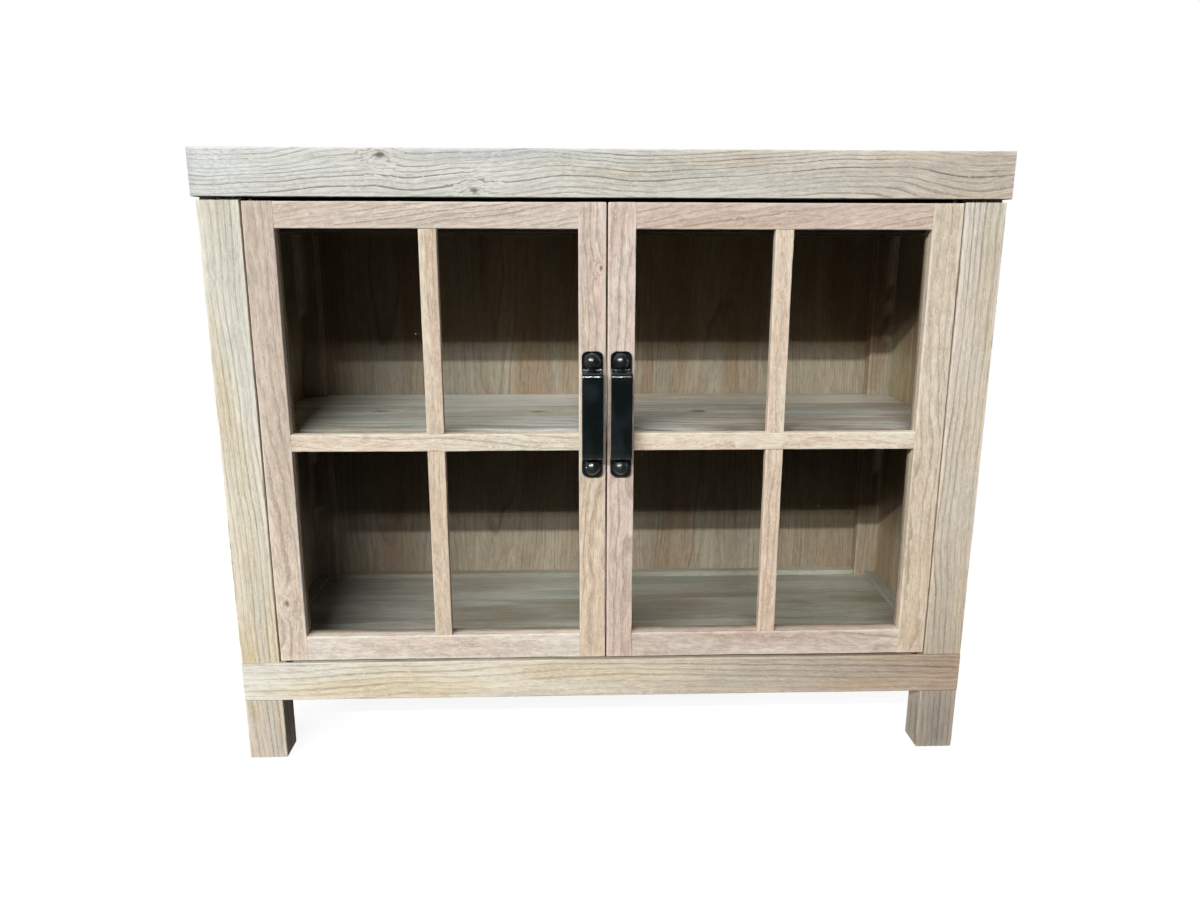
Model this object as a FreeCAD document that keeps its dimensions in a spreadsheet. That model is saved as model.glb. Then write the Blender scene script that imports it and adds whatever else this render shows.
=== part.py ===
import FreeCAD, Part
import math
import os
import re

import Sketcher

# A two-door glazed sideboard of weathered wood. A thick framed top stands on four square posts, with
# a narrow shadow gap under it. Two inset doors, each one pane behind a cross of glazing bars, turn on
# pivot pins. Inside are one shelf, a framed bottom and a boarded back. A long apron is lapped onto the
# front posts, and two black iron strap handles sit on the meeting stiles.
#
# Millimetres. +Z is up, the doors face -Y and +X is to the right as one faces them. The origin is on
# the floor below the middle of the whole piece, handles included.

SIZES = (
    # Carcass
    ("body_width", 1080, "across the outer faces of the posts"),
    ("body_depth", 380, "front face to back face of the posts"),
    ("post_width", 56, "post, across the front"),
    ("post_depth", 45, "post, front to back"),
    ("post_height", 817, "floor to the top of the posts"),
    ("arris", 1.2, "radius of the eased edges"),
    ("tenon_length", 20, "how far a rail's tenon enters a post"),
    ("haunch", 11, "shoulder above and below a rail's tenon"),
    ("joint_clearance", 0.1, "play on each side of a tenon, tongue or pin seat"),
    ("socket_relief", 0.5, "room past the end of a tenon or tongue"),
    ("panel_clearance", 0.5, "room round a loose panel"),
    ("groove_depth", 8, "how far a panel enters its frame"),
    ("overrun", 5, "how far a cut runs past the face it opens"),
    # Framed top
    ("top_overhang", 4, "top past the posts, all round"),
    ("top_thickness", 62, "height of the top's edge"),
    ("top_gap", 4, "shadow gap between posts and top"),
    ("top_member_width", 70, "width of the top's frame members"),
    ("top_arris", 2, "radius of the top's long edges"),
    ("top_panel_thickness", 18, "panel flush with the frame"),
    ("top_tongue_thickness", 8, "tongue round the panel"),
    ("top_tongue_length", 10, "reach of that tongue"),
    ("batten_width", 45, "cross batten under the panel"),
    ("batten_height", 30, "depth of that batten"),
    ("batten_shoulder", 7, "shoulder round the batten's tenons"),
    ("mitre_tenon_inset", 28, "outer edge to the mitre's tenon"),
    ("mitre_tenon_width", 26, "width of that tenon"),
    ("mitre_tenon_thickness", 18, "thickness of that tenon"),
    ("mitre_tenon_cover", 12, "wood left beyond its end"),
    # Rails
    ("rail_drop", 40, "upper rails below the post tops"),
    ("front_rail_setback", 30, "front face to the front rails"),
    ("front_rail_thickness", 15, "front rails, front to back"),
    ("front_rail_shoulder", 3.5, "shoulder beside their tenons"),
    ("side_rail_inset", 4, "side rails behind the posts' outer faces"),
    ("side_rail_thickness", 40, "side rails, across"),
    ("rear_rail_inset", 2, "rear rails inside the posts' back faces"),
    ("rear_rail_thickness", 43, "rear rails, front to back"),
    ("apron_bottom", 97, "floor to the apron and lower rails"),
    ("apron_height", 60, "apron, up and down"),
    ("apron_thickness", 20, "apron, front to back"),
    ("apron_proud", 3, "apron in front of the posts"),
    ("apron_end_inset", 1, "apron's ends inside the posts' outer faces"),
    ("deck_height", 162, "floor to the top of the lower rails"),
    # Panels, back and shelf
    ("deck_thickness", 15, "bottom panel"),
    ("deck_drop", 8, "bottom panel below its frame"),
    ("deck_ledge", 6, "rebate that carries the bottom panel"),
    ("side_panel_thickness", 12, "side panels"),
    ("side_panel_inset", 6, "side panels behind the posts' outer faces"),
    ("back_thickness", 12, "back boards"),
    ("back_inset", 10, "back boards inside the posts' back faces"),
    ("board_gap", 0.4, "open joint between back boards"),
    ("board_tongue_length", 6, "tongue between back boards"),
    ("board_tongue_thickness", 4, "thickness of that tongue"),
    ("shelf_height", 499, "floor to the top of the shelf"),
    ("shelf_thickness", 20, "shelf"),
    ("shelf_setback", 48, "front face to the shelf's edge"),
    ("cleat_width", 20, "cleat under the shelf, across"),
    ("cleat_height", 20, "cleat under the shelf, up and down"),
    # Doors
    ("door_gap", 2, "door to post"),
    ("centre_gap", 2, "door to door"),
    ("door_bottom_gap", 2.5, "apron to door"),
    ("door_top_drop", 1, "door below the post tops"),
    ("door_thickness", 25, "stiles and rails, front to back"),
    ("hinge_stile_width", 41, "stile beside the post"),
    ("meeting_stile_width", 38, "stile beside the other door"),
    ("door_top_rail", 35, "door's top rail, up and down"),
    ("door_bottom_rail", 38, "door's bottom rail, up and down"),
    ("door_tenon_length", 20, "rail's tenon into a stile"),
    ("door_tenon_setback", 6, "door's face to its tenons"),
    ("door_tenon_thickness", 8, "those tenons"),
    ("door_haunch", 6, "shoulder above and below those tenons"),
    ("bar_width", 25, "glazing bars"),
    ("stub_length", 8, "stub tenon of a glazing bar"),
    ("glass_setback", 14, "door's face to the glass"),
    ("glass_thickness", 3, "glass"),
    ("glass_cover", 8, "rebate behind the frame"),
    ("glass_clearance", 1, "room round the glass"),
    # Pivots
    ("pivot_inset", 12, "door's outer edge to the pivot"),
    ("pivot_setback", 6, "door's face to the pivot"),
    ("pin_diameter", 6, "pivot pins"),
    ("pin_in_door", 18, "pin's reach into the door"),
    ("pin_in_frame", 20, "pin's reach into apron or top"),
    ("pivot_clearance", 0.05, "running play round a pin"),
    ("bush_diameter", 8.5, "pivot bushes"),
    ("bush_length", 22, "pivot bushes, up and down"),
    ("collar_diameter", 12, "collar that carries the door"),
    ("collar_clearance", 0.3, "collar to door"),
    # Handles
    ("handle_height", 529, "floor to the middle of a handle"),
    ("handle_length", 178, "handle, end to end"),
    ("handle_width", 29.5, "strap, across"),
    ("handle_thickness", 5, "strap"),
    ("handle_reach", 24, "door's face to the front of the grip"),
    ("flange_length", 27, "flat ends on the door"),
    ("riser_slant", 1, "lean of the risers"),
    ("handle_corner", 8, "rounding of the flat ends"),
    ("bend_radius", 2.5, "inside of each bend"),
    ("dome_diameter", 22, "domed bolt heads"),
    ("dome_height", 9, "domed bolt heads, out of the strap"),
    ("bolt_diameter", 6, "bolt shanks"),
    ("bolt_grip", 16, "bolt in the stile"),
    ("bolt_inset", 14, "handle's end to the bolt"),
    # Catches and top screws
    ("strike_width", 30, "plate on the door, across"),
    ("strike_height", 14, "plate on the door, up and down"),
    ("strike_thickness", 1, "plate on the door"),
    ("strike_drop", 19, "door's top to the plate's middle"),
    ("catch_gap", 0.3, "plate to magnet"),
    ("catch_seat", 6, "magnet let into the rail"),
    ("screw_diameter", 5, "screws that hold the top"),
    ("screw_head_diameter", 10, "their heads"),
    ("screw_head_height", 4, "their heads, up and down"),
    ("screw_recess", 8, "depth of the head's hole"),
    ("screw_grip", 20, "screw in the top"),
    ("screw_pitch", 330, "screw to screw"),
    ("rear_screw_inset", 11.5, "rear rail's inner face to its screws"),
)
BACK_BOARD_COUNT = 5
SCREWS_PER_RAIL = 3
PARALLEL_COSINE = 0.999

doc = FreeCAD.newDocument("Sideboard")
sheet = doc.addObject("Spreadsheet::Sheet", "Sizes")
for row, (alias, size, meaning) in enumerate(SIZES, start=1):
    sheet.set(f"A{row}", alias)
    sheet.set(f"B{row}", str(size))
    sheet.set(f"C{row}", meaning)
    sheet.setAlias(f"B{row}", alias)
doc.recompute()

PIECES = []


# Words for places: every length below is a formula in the sheet's aliases

def bound(formula):
    """The formula with each alias read from the sheet."""
    return re.sub(r"[a-z_]+", lambda word: "Sizes." + word.group(), formula)


def grown(span, by):
    """The span with both ends moved outwards."""
    low, high = span
    return f"({low}) - ({by})", f"({high}) + ({by})"


def shrunk(span, by):
    """The span with both ends moved inwards."""
    return grown(span, f"-({by})")


def mirrored(span):
    """The same span on the other side of the middle plane."""
    low, high = span
    return f"-({high})", f"-({low})"


def mirrored_pair(half):
    """A span that reaches equally far to both sides of the middle plane."""
    return f"-({half})", half


def on_side(side, span):
    """A span given for the right-hand side, on the side asked for."""
    return span if side == "right" else mirrored(span)


def middle(span):
    low, high = span
    return f"(({low}) + ({high})) / 2"


def centred(span, width):
    """A span of the given width in the middle of another."""
    return f"{middle(span)} - ({width}) / 2", f"{middle(span)} + ({width}) / 2"


FACE = "(handle_reach - body_depth - top_overhang) / 2"


def behind(depth):
    """The place along Y that lies this far behind the posts' front faces."""
    return f"{FACE} + ({depth})"


POST_X = ("body_width / 2 - post_width", "body_width / 2")
INSIDE_X = ("post_width - body_width / 2", "body_width / 2 - post_width")
FRONT_POST_Y = (FACE, behind("post_depth"))
REAR_POST_Y = (behind("body_depth - post_depth"), behind("body_depth"))
BETWEEN_POSTS_Y = (FRONT_POST_Y[1], REAR_POST_Y[0])
POST_Z = ("0", "post_height")
UPPER_Z = ("post_height - rail_drop", "post_height + top_gap")
UPPER_TENON_Z = shrunk(("post_height - rail_drop", "post_height"), "haunch")
LOWER_Z = ("apron_bottom", "deck_height")
LOWER_TENON_Z = shrunk(LOWER_Z, "haunch")
PANEL_Z = (f"{LOWER_Z[1]} - groove_depth", f"{UPPER_Z[0]} + groove_depth")
FRONT_RAIL_Y = (behind("front_rail_setback"), behind("front_rail_setback + front_rail_thickness"))
REAR_RAIL_Y = (behind("body_depth - rear_rail_inset - rear_rail_thickness"),
               behind("body_depth - rear_rail_inset"))
SIDE_RAIL_X = ("body_width / 2 - side_rail_inset - side_rail_thickness",
               "body_width / 2 - side_rail_inset")
SIDE_PANEL_X = ("body_width / 2 - side_panel_inset - side_panel_thickness",
                "body_width / 2 - side_panel_inset")
BACK_Y = (behind("body_depth - back_inset - back_thickness"), behind("body_depth - back_inset"))
APRON_Y = (behind("-apron_proud"), behind("apron_thickness - apron_proud"))
APRON_Z = ("apron_bottom", "apron_bottom + apron_height")

TOP_X = ("-body_width / 2 - top_overhang", "body_width / 2 + top_overhang")
TOP_Y = (behind("-top_overhang"), behind("body_depth + top_overhang"))
TOP_Z = (UPPER_Z[1], f"{UPPER_Z[1]} + top_thickness")
TOP_FIELD_X = shrunk(TOP_X, "top_member_width")
TOP_FIELD_Y = shrunk(TOP_Y, "top_member_width")

DOOR_X = ("centre_gap / 2", f"{POST_X[0]} - door_gap")
DOOR_Y = (FACE, behind("door_thickness"))
DOOR_Z = (f"{APRON_Z[1]} + door_bottom_gap", "post_height - door_top_drop")
MEETING_X = (DOOR_X[0], f"{DOOR_X[0]} + meeting_stile_width")
HINGE_X = (f"{DOOR_X[1]} - hinge_stile_width", DOOR_X[1])
LIGHT_X = (MEETING_X[1], HINGE_X[0])
LIGHT_Z = (f"{DOOR_Z[0]} + door_bottom_rail", f"{DOOR_Z[1]} - door_top_rail")
TENON_Y = (behind("door_tenon_setback"), behind("door_tenon_setback + door_tenon_thickness"))
BAR_Y = (FACE, behind("glass_setback"))
GLASS_Y = (BAR_Y[1], f"{BAR_Y[1]} + glass_thickness")
BEAD_Y = (GLASS_Y[1], DOOR_Y[1])
PIVOT_X = f"{DOOR_X[1]} - pivot_inset"
PIVOT_Y = behind("pivot_setback")
HANDLE_Z = centred(("handle_height", "handle_height"), "handle_length")
STRIKE_Y = (DOOR_Y[1], f"{DOOR_Y[1]} + strike_thickness")
CATCH_Y = (f"{STRIKE_Y[1]} + catch_gap", behind("front_rail_setback + catch_seat"))
STRIKE_Z = centred((DOOR_Z[1], f"{DOOR_Z[1]} - 2 * strike_drop"), "strike_height")
FRONT_SCREW_Y = middle(FRONT_RAIL_Y)
REAR_SCREW_Y = f"{REAR_RAIL_Y[0]} + rear_screw_inset"


# Ways of making a shape

def block(x, y, z):
    """A rectangular block between two planes on each axis."""
    shape = doc.addObject("Part::Box", "block")
    for size, axis, (low, high) in (("Length", "x", x), ("Width", "y", y), ("Height", "z", z)):
        shape.setExpression(size, bound(f"({high}) - ({low})"))
        shape.setExpression(f"Placement.Base.{axis}", bound(low))
    return shape


def rod(diameter, x, y, z):
    """An upright round rod where z is a span, or one along Y where y is a span."""
    shape = doc.addObject("Part::Cylinder", "rod")
    along = z if isinstance(z, tuple) else y
    if along is y:
        shape.Placement.Rotation = FreeCAD.Rotation(FreeCAD.Vector(1, 0, 0), -90)
    shape.setExpression("Radius", bound(f"({diameter}) / 2"))
    shape.setExpression("Height", bound(f"({along[1]}) - ({along[0]})"))
    for axis, place in (("x", x), ("y", y), ("z", z)):
        start = place[0] if isinstance(place, tuple) else place
        shape.setExpression(f"Placement.Base.{axis}", bound(start))
    return shape


def parallel_edges(shape, axis):
    """The numbers of a shape's straight edges that run along an axis."""
    numbers = []
    for number, edge in enumerate(shape.Edges, start=1):
        if isinstance(edge.Curve, Part.Line) and abs(getattr(edge.Curve.Direction, axis)) > PARALLEL_COSINE:
            numbers.append(number)
    return numbers


def eased(blank, axis):
    """A board whose long edges are rounded over."""
    doc.recompute()
    board = doc.addObject("Part::Fillet", "board")
    board.Base = blank
    radius = sheet.arris
    board.Edges = [(number, radius, radius) for number in parallel_edges(blank.Shape, axis)]
    return board


def joined(*shapes):
    whole = doc.addObject("Part::MultiFuse", "joined")
    whole.Shapes = list(shapes)
    whole.Refine = True
    return whole


def less(shape, *tools):
    """A shape with each tool cut out of it."""
    rest = doc.addObject("Part::Cut", "cut")
    rest.Base = shape
    rest.Tool = tools[0] if len(tools) == 1 else joined(*tools)
    rest.Refine = True
    return rest


def group(*shapes):
    several = doc.addObject("Part::Compound", "group")
    several.Links = list(shapes)
    return several


def piece(label, shape):
    """Names a finished piece and puts it on the list to be written."""
    shape.Label = label
    PIECES.append(shape)
    return shape


def rail(axis, spans, tenon, length):
    """A board with a tenon at each end, and the tool that cuts the sockets for both."""
    core = dict(tenon)
    core[axis] = grown(spans[axis], length)
    hollow = {name: grown(span, "joint_clearance") for name, span in tenon.items()}
    hollow[axis] = grown(spans[axis], f"{length} + socket_relief")
    board = joined(eased(block(**spans), axis), block(**core))
    return board, block(**hollow)


def sketched(body, role, offset, corners):
    """A closed straight-sided outline on one of the body's planes, each corner tied to the sheet."""
    plane = [feature for feature in body.Origin.OriginFeatures if feature.Role == role][0]
    sketch = body.newObject("Sketcher::SketchObject", "Outline")
    sketch.AttachmentSupport = [(plane, "")]
    sketch.MapMode = "FlatFace"
    sketch.setExpression("AttachmentOffset.Base.z", bound(offset))
    count = len(corners)
    turns = [2 * math.pi * number / count for number in range(count)]
    start = [FreeCAD.Vector(math.cos(turn), math.sin(turn), 0) for turn in turns]
    for number in range(count):
        sketch.addGeometry(Part.LineSegment(start[number], start[(number + 1) % count]), False)
    for number in range(count):
        sketch.addConstraint(Sketcher.Constraint("Coincident", number, 2, (number + 1) % count, 1))
    for number, (across, up) in enumerate(corners):
        for kind, formula, value in (("DistanceX", across, start[number].x),
                                     ("DistanceY", up, start[number].y)):
            index = sketch.addConstraint(Sketcher.Constraint(kind, -1, 1, number, 1, value))
            sketch.setExpression(f"Constraints[{index}]", bound(formula))
    return sketch


def padded(body, sketch, length, both_ways=False):
    pad = body.newObject("PartDesign::Pad", "Pad")
    pad.Profile = sketch
    pad.SideType = "Symmetric" if both_ways else "One side"
    pad.setExpression("Length", bound(length))
    doc.recompute()
    return pad


def rounded(body, base, numbers, radius):
    """A rounding of the numbered edges of the body's last feature."""
    fillet = body.newObject("PartDesign::Fillet", "Rounding")
    fillet.Base = (base, [f"Edge{number}" for number in numbers])
    fillet.setExpression("Radius", bound(radius))
    doc.recompute()
    return fillet


# Framed top

def mitred_member(axis, corners):
    """A frame member of the top with mitred ends, long edges rounded."""
    body = doc.addObject("PartDesign::Body", "Member")
    pad = padded(body, sketched(body, "XY_Plane", TOP_Z[0], corners), "top_thickness")
    rounded(body, pad, parallel_edges(pad.Shape, axis), "top_arris")
    return body


def build_top(screw_holes, pin_holes):
    (left, right), (front, back) = TOP_X, TOP_Y
    (in_left, in_right), (in_front, in_back) = TOP_FIELD_X, TOP_FIELD_Y
    tongue_z = (f"{TOP_Z[1]} - top_panel_thickness",
                f"{TOP_Z[1]} - top_panel_thickness + top_tongue_thickness")
    groove = block(grown(TOP_FIELD_X, "top_tongue_length + socket_relief"),
                   grown(TOP_FIELD_Y, "top_tongue_length + socket_relief"),
                   grown(tongue_z, "joint_clearance"))
    field = block(shrunk(TOP_FIELD_X, "panel_clearance"), shrunk(TOP_FIELD_Y, "panel_clearance"),
                  (tongue_z[0], TOP_Z[1]))
    tongue = block(grown(TOP_FIELD_X, "top_tongue_length"), grown(TOP_FIELD_Y, "top_tongue_length"),
                   tongue_z)
    piece("top_panel", joined(field, tongue))

    batten_x = centred(TOP_X, "batten_width")
    batten_z = (f"{tongue_z[0]} - batten_height", tongue_z[0])
    batten, batten_hollow = rail(
        "y", dict(x=batten_x, y=TOP_FIELD_Y, z=batten_z),
        dict(x=shrunk(batten_x, "batten_shoulder"), z=shrunk(batten_z, "batten_shoulder")),
        "tenon_length")
    piece("top_batten", batten)

    tenon_z = centred(TOP_Z, "mitre_tenon_thickness")
    tenon_y = shrunk(TOP_Y, "mitre_tenon_cover")
    sockets = []
    for side in ("left", "right"):
        outer_x, inner_x = (left, in_left) if side == "left" else (right, in_right)
        tenon_x = on_side(side, (f"{right} - mitre_tenon_inset - mitre_tenon_width",
                                 f"{right} - mitre_tenon_inset"))
        member = mitred_member("y", [(outer_x, front), (outer_x, back), (inner_x, in_back),
                                     (inner_x, in_front)])
        ends = less(block(tenon_x, tenon_y, tenon_z), block(grown(tenon_x, "overrun"), TOP_FIELD_Y, TOP_Z))
        sockets.append(less(block(grown(tenon_x, "joint_clearance"), grown(tenon_y, "socket_relief"),
                                  grown(tenon_z, "joint_clearance")),
                            block(grown(tenon_x, "overrun"), TOP_FIELD_Y, TOP_Z)))
        piece(f"top_frame_{side}", less(joined(member, ends), groove))
    for place, outer_y, inner_y, extra in (("front", front, in_front, pin_holes),
                                           ("rear", back, in_back, [])):
        member = mitred_member("x", [(left, outer_y), (right, outer_y), (in_right, inner_y),
                                     (in_left, inner_y)])
        piece(f"top_frame_{place}", less(member, groove, batten_hollow, *sockets, *screw_holes, *extra))


def screw(x, y):
    """One screw that holds the top, and the tool that cuts its hole with the head's recess."""
    head_z = (f"{UPPER_Z[0]} + screw_recess - screw_head_height", f"{UPPER_Z[0]} + screw_recess")
    shank_z = (head_z[0], f"{TOP_Z[0]} + screw_grip")
    shape = joined(rod("screw_head_diameter", x, y, head_z), rod("screw_diameter", x, y, shank_z))
    hole = joined(rod("screw_head_diameter + 2 * joint_clearance", x, y,
                      (f"{UPPER_Z[0]} - overrun", head_z[1])),
                  rod("screw_diameter + 2 * joint_clearance", x, y,
                      (head_z[0], f"{shank_z[1]} + socket_relief")))
    return shape, hole


# Carcass

def build_carcass():
    screws = []
    screw_holes = []
    for row in range(SCREWS_PER_RAIL):
        place = f"screw_pitch * ({row} - ({SCREWS_PER_RAIL} - 1) / 2)"
        for y in (FRONT_SCREW_Y, REAR_SCREW_Y):
            shape, hole = screw(place, y)
            screws.append(shape)
            screw_holes.append(hole)
    piece("top_screws", group(*screws))

    back_room = block(grown(INSIDE_X, "groove_depth + socket_relief"), grown(BACK_Y, "joint_clearance"),
                      grown(PANEL_Z, "socket_relief"))
    deck_x = grown(mirrored_pair(SIDE_RAIL_X[0]), "deck_ledge")
    deck_y = (f"{FRONT_RAIL_Y[1]} - deck_ledge", f"{REAR_RAIL_Y[0]} + deck_ledge")
    deck_z = ("deck_height - deck_drop - deck_thickness", "deck_height - deck_drop")
    deck_room = block(deck_x, deck_y, (deck_z[0], "deck_height + overrun"))
    catches = build_catches()
    apron_holes, top_holes = build_pins()

    cross_rails = {
        "upper_rail_front": (FRONT_RAIL_Y, UPPER_Z, shrunk(FRONT_RAIL_Y, "front_rail_shoulder"),
                             UPPER_TENON_Z, [*screw_holes, *catches]),
        "upper_rail_rear": (REAR_RAIL_Y, UPPER_Z, BACK_Y, UPPER_TENON_Z, [*screw_holes, back_room]),
        "lower_rail_front": (FRONT_RAIL_Y, LOWER_Z, shrunk(FRONT_RAIL_Y, "front_rail_shoulder"),
                             LOWER_TENON_Z, [deck_room]),
        "lower_rail_rear": (REAR_RAIL_Y, LOWER_Z, BACK_Y, LOWER_TENON_Z, [deck_room, back_room]),
    }
    cross_hollows = {"front": [], "rear": []}
    for label, (y, z, tenon_y, tenon_z, cuts) in cross_rails.items():
        board, hollow = rail("x", dict(x=INSIDE_X, y=y, z=z), dict(y=tenon_y, z=tenon_z), "tenon_length")
        piece(label, less(board, *cuts))
        cross_hollows[label.rpartition("_")[2]].append(hollow)

    apron_x = mirrored_pair(f"{POST_X[1]} - apron_end_inset")
    apron = eased(block(apron_x, APRON_Y, APRON_Z), "x")
    piece("front_apron", less(apron, *apron_holes))
    lap = block(grown(apron_x, "overrun"), (behind("-overrun"), APRON_Y[1]), APRON_Z)

    post_rooms = []
    rear_post_rooms = []
    for side in ("left", "right"):
        panel_x = on_side(side, SIDE_PANEL_X)
        panel_y = grown(BETWEEN_POSTS_Y, "groove_depth")
        piece(f"side_panel_{side}", block(panel_x, panel_y, PANEL_Z))
        panel_room = block(grown(panel_x, "joint_clearance"), grown(panel_y, "socket_relief"),
                           grown(PANEL_Z, "socket_relief"))
        side_hollows = []
        for place, z, tenon_z, cuts in (("upper", UPPER_Z, UPPER_TENON_Z, [panel_room]),
                                        ("lower", LOWER_Z, LOWER_TENON_Z, [panel_room, deck_room])):
            board, hollow = rail("y", dict(x=on_side(side, SIDE_RAIL_X), y=BETWEEN_POSTS_Y, z=z),
                                 dict(x=panel_x, z=tenon_z), "tenon_length")
            piece(f"{place}_rail_{side}", less(board, *cuts))
            side_hollows.append(hollow)
        for place, y, cuts in (("front", FRONT_POST_Y, [lap]), ("rear", REAR_POST_Y, [back_room])):
            spans = dict(x=on_side(side, POST_X), y=y, z=POST_Z)
            sockets = [panel_room, *side_hollows, *cross_hollows[place], *cuts]
            piece(f"post_{place}_{side}", less(eased(block(**spans), "z"), *sockets))
            room = block(*(grown(span, "panel_clearance") for span in spans.values()))
            post_rooms.append(room)
            if place == "rear":
                rear_post_rooms.append(room)
        cleat_x = on_side(side, (f"{SIDE_PANEL_X[0]} - cleat_width", SIDE_PANEL_X[0]))
        cleat_z = ("shelf_height - shelf_thickness - cleat_height", "shelf_height - shelf_thickness")
        piece(f"shelf_cleat_{side}", eased(block(cleat_x, BETWEEN_POSTS_Y, cleat_z), "y"))

    deck = block(shrunk(deck_x, "panel_clearance"), shrunk(deck_y, "panel_clearance"), deck_z)
    piece("bottom_panel", less(deck, *post_rooms))
    shelf = block(shrunk(mirrored_pair(SIDE_PANEL_X[0]), "panel_clearance"),
                  (behind("shelf_setback"), f"{BACK_Y[0]} - panel_clearance"),
                  ("shelf_height - shelf_thickness", "shelf_height"))
    piece("shelf", less(eased(shelf, "x"), *rear_post_rooms))
    build_back()
    build_top(screw_holes, top_holes)


def build_back():
    """Upright boards, each with a tongue in the groove of the next."""
    left, right = grown(INSIDE_X, "groove_depth")
    step = f"(({right}) - ({left})) / {BACK_BOARD_COUNT}"
    tongue_y = centred(BACK_Y, "board_tongue_thickness")
    for number in range(BACK_BOARD_COUNT):
        start = f"{left} + {number} * {step}"
        end = f"{start} + {step} - board_gap"
        board = block((start, end), BACK_Y, PANEL_Z)
        if number > 0:
            groove_x = (f"{start} - overrun", f"{start} - board_gap + board_tongue_length + socket_relief")
            board = less(board, block(groove_x, grown(tongue_y, "joint_clearance"),
                                      grown(PANEL_Z, "overrun")))
        if number < BACK_BOARD_COUNT - 1:
            tongue_x = (f"{end} - board_tongue_length", f"{end} + board_tongue_length")
            board = joined(board, block(tongue_x, tongue_y, PANEL_Z))
        piece(f"back_board_{number + 1}", board)


def build_pins():
    """The four pivot pins with the tools for their seats in the apron and in the top."""
    upper = []
    lower = []
    apron_holes = []
    top_holes = []
    seat = "pin_diameter + 2 * joint_clearance"
    for side in ("left", "right"):
        x = PIVOT_X if side == "right" else f"-({PIVOT_X})"
        upper.append(rod("pin_diameter", x, PIVOT_Y,
                         (f"{DOOR_Z[1]} - pin_in_door", f"{TOP_Z[0]} + pin_in_frame")))
        top_holes.append(rod(seat, x, PIVOT_Y,
                             (f"{TOP_Z[0]} - overrun", f"{TOP_Z[0]} + pin_in_frame")))
        pin = rod("pin_diameter", x, PIVOT_Y,
                  (f"{APRON_Z[1]} - pin_in_frame", f"{DOOR_Z[0]} + pin_in_door"))
        collar = rod("collar_diameter", x, PIVOT_Y, (APRON_Z[1], f"{DOOR_Z[0]} - collar_clearance"))
        lower.append(joined(pin, collar))
        apron_holes.append(rod(seat, x, PIVOT_Y,
                               (f"{APRON_Z[1]} - pin_in_frame", f"{APRON_Z[1]} + overrun")))
    piece("upper_pivot_pins", group(*upper))
    piece("lower_pivot_pins", group(*lower))
    return apron_holes, top_holes


def build_catches():
    """Two magnets let into the front rail, one behind each meeting stile."""
    magnets = []
    rooms = []
    for side in ("left", "right"):
        x = on_side(side, centred(MEETING_X, "strike_width"))
        magnets.append(block(x, CATCH_Y, STRIKE_Z))
        rooms.append(block(grown(x, "joint_clearance"), CATCH_Y, grown(STRIKE_Z, "joint_clearance")))
    piece("door_catches", group(*magnets))
    return rooms


# Doors

def build_door(side):
    hinge_x, meeting_x, light_x = (on_side(side, span) for span in (HINGE_X, MEETING_X, LIGHT_X))
    pivot_x = PIVOT_X if side == "right" else f"-({PIVOT_X})"
    rebate_x = grown(light_x, "glass_cover")
    rebate_z = grown(LIGHT_Z, "glass_cover")
    rebate = block(rebate_x, (GLASS_Y[0], f"{DOOR_Y[1]} + overrun"), rebate_z)

    cross_z = centred(LIGHT_Z, "bar_width")
    bar_x = centred(light_x, "bar_width")
    cross, cross_hollow = rail("x", dict(x=light_x, y=BAR_Y, z=cross_z),
                               dict(y=TENON_Y, z=shrunk(cross_z, "door_haunch")), "stub_length")
    bars = {}
    bar_hollows = []
    for place, z in (("upper", (cross_z[1], LIGHT_Z[1])), ("lower", (LIGHT_Z[0], cross_z[0]))):
        bars[place], hollow = rail("z", dict(x=bar_x, y=BAR_Y, z=z),
                                   dict(x=shrunk(bar_x, "door_haunch"), y=TENON_Y), "stub_length")
        bar_hollows.append(hollow)
    piece(f"{side}_door_cross_bar", less(cross, *bar_hollows))
    for place, bar in bars.items():
        piece(f"{side}_door_{place}_bar", bar)

    rail_hollows = []
    for place, z in (("top", (LIGHT_Z[1], DOOR_Z[1])), ("bottom", (DOOR_Z[0], LIGHT_Z[0]))):
        board, hollow = rail("x", dict(x=light_x, y=DOOR_Y, z=z),
                             dict(y=TENON_Y, z=shrunk(z, "door_haunch")), "door_tenon_length")
        rail_hollows.append(hollow)
        piece(f"{side}_door_{place}_rail", less(board, rebate, *bar_hollows))

    bushes, bush_rooms = bushes_at(pivot_x)
    piece(f"{side}_door_pivot_bushes", group(*bushes))
    handle_x = middle(meeting_x)
    bolts, strap_holes = bolts_at(handle_x)
    piece(f"{side}_door_handle_bolts", group(*bolts))
    piece(f"{side}_door_handle", less(strap(handle_x), *strap_holes))
    hinge_stile = eased(block(hinge_x, DOOR_Y, DOOR_Z), "z")
    meeting_stile = eased(block(meeting_x, DOOR_Y, DOOR_Z), "z")
    piece(f"{side}_door_hinge_stile", less(hinge_stile, rebate, cross_hollow, *rail_hollows, *bush_rooms))
    piece(f"{side}_door_meeting_stile",
          less(meeting_stile, rebate, cross_hollow, *rail_hollows, *strap_holes))

    piece(f"{side}_door_glass",
          block(shrunk(rebate_x, "glass_clearance"), GLASS_Y, shrunk(rebate_z, "glass_clearance")))
    strip_z = (f"{rebate_z[0]} + glass_cover", f"{rebate_z[1]} - glass_cover")
    strip_x = (f"{rebate_x[0]} + glass_cover", f"{rebate_x[1]} - glass_cover")
    piece(f"{side}_door_glazing_beads", group(
        block(rebate_x, BEAD_Y, (rebate_z[0], strip_z[0])),
        block(rebate_x, BEAD_Y, (strip_z[1], rebate_z[1])),
        block((rebate_x[0], strip_x[0]), BEAD_Y, strip_z),
        block((strip_x[1], rebate_x[1]), BEAD_Y, strip_z)))
    piece(f"{side}_door_strike_plate", block(centred(meeting_x, "strike_width"), STRIKE_Y, STRIKE_Z))


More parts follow.
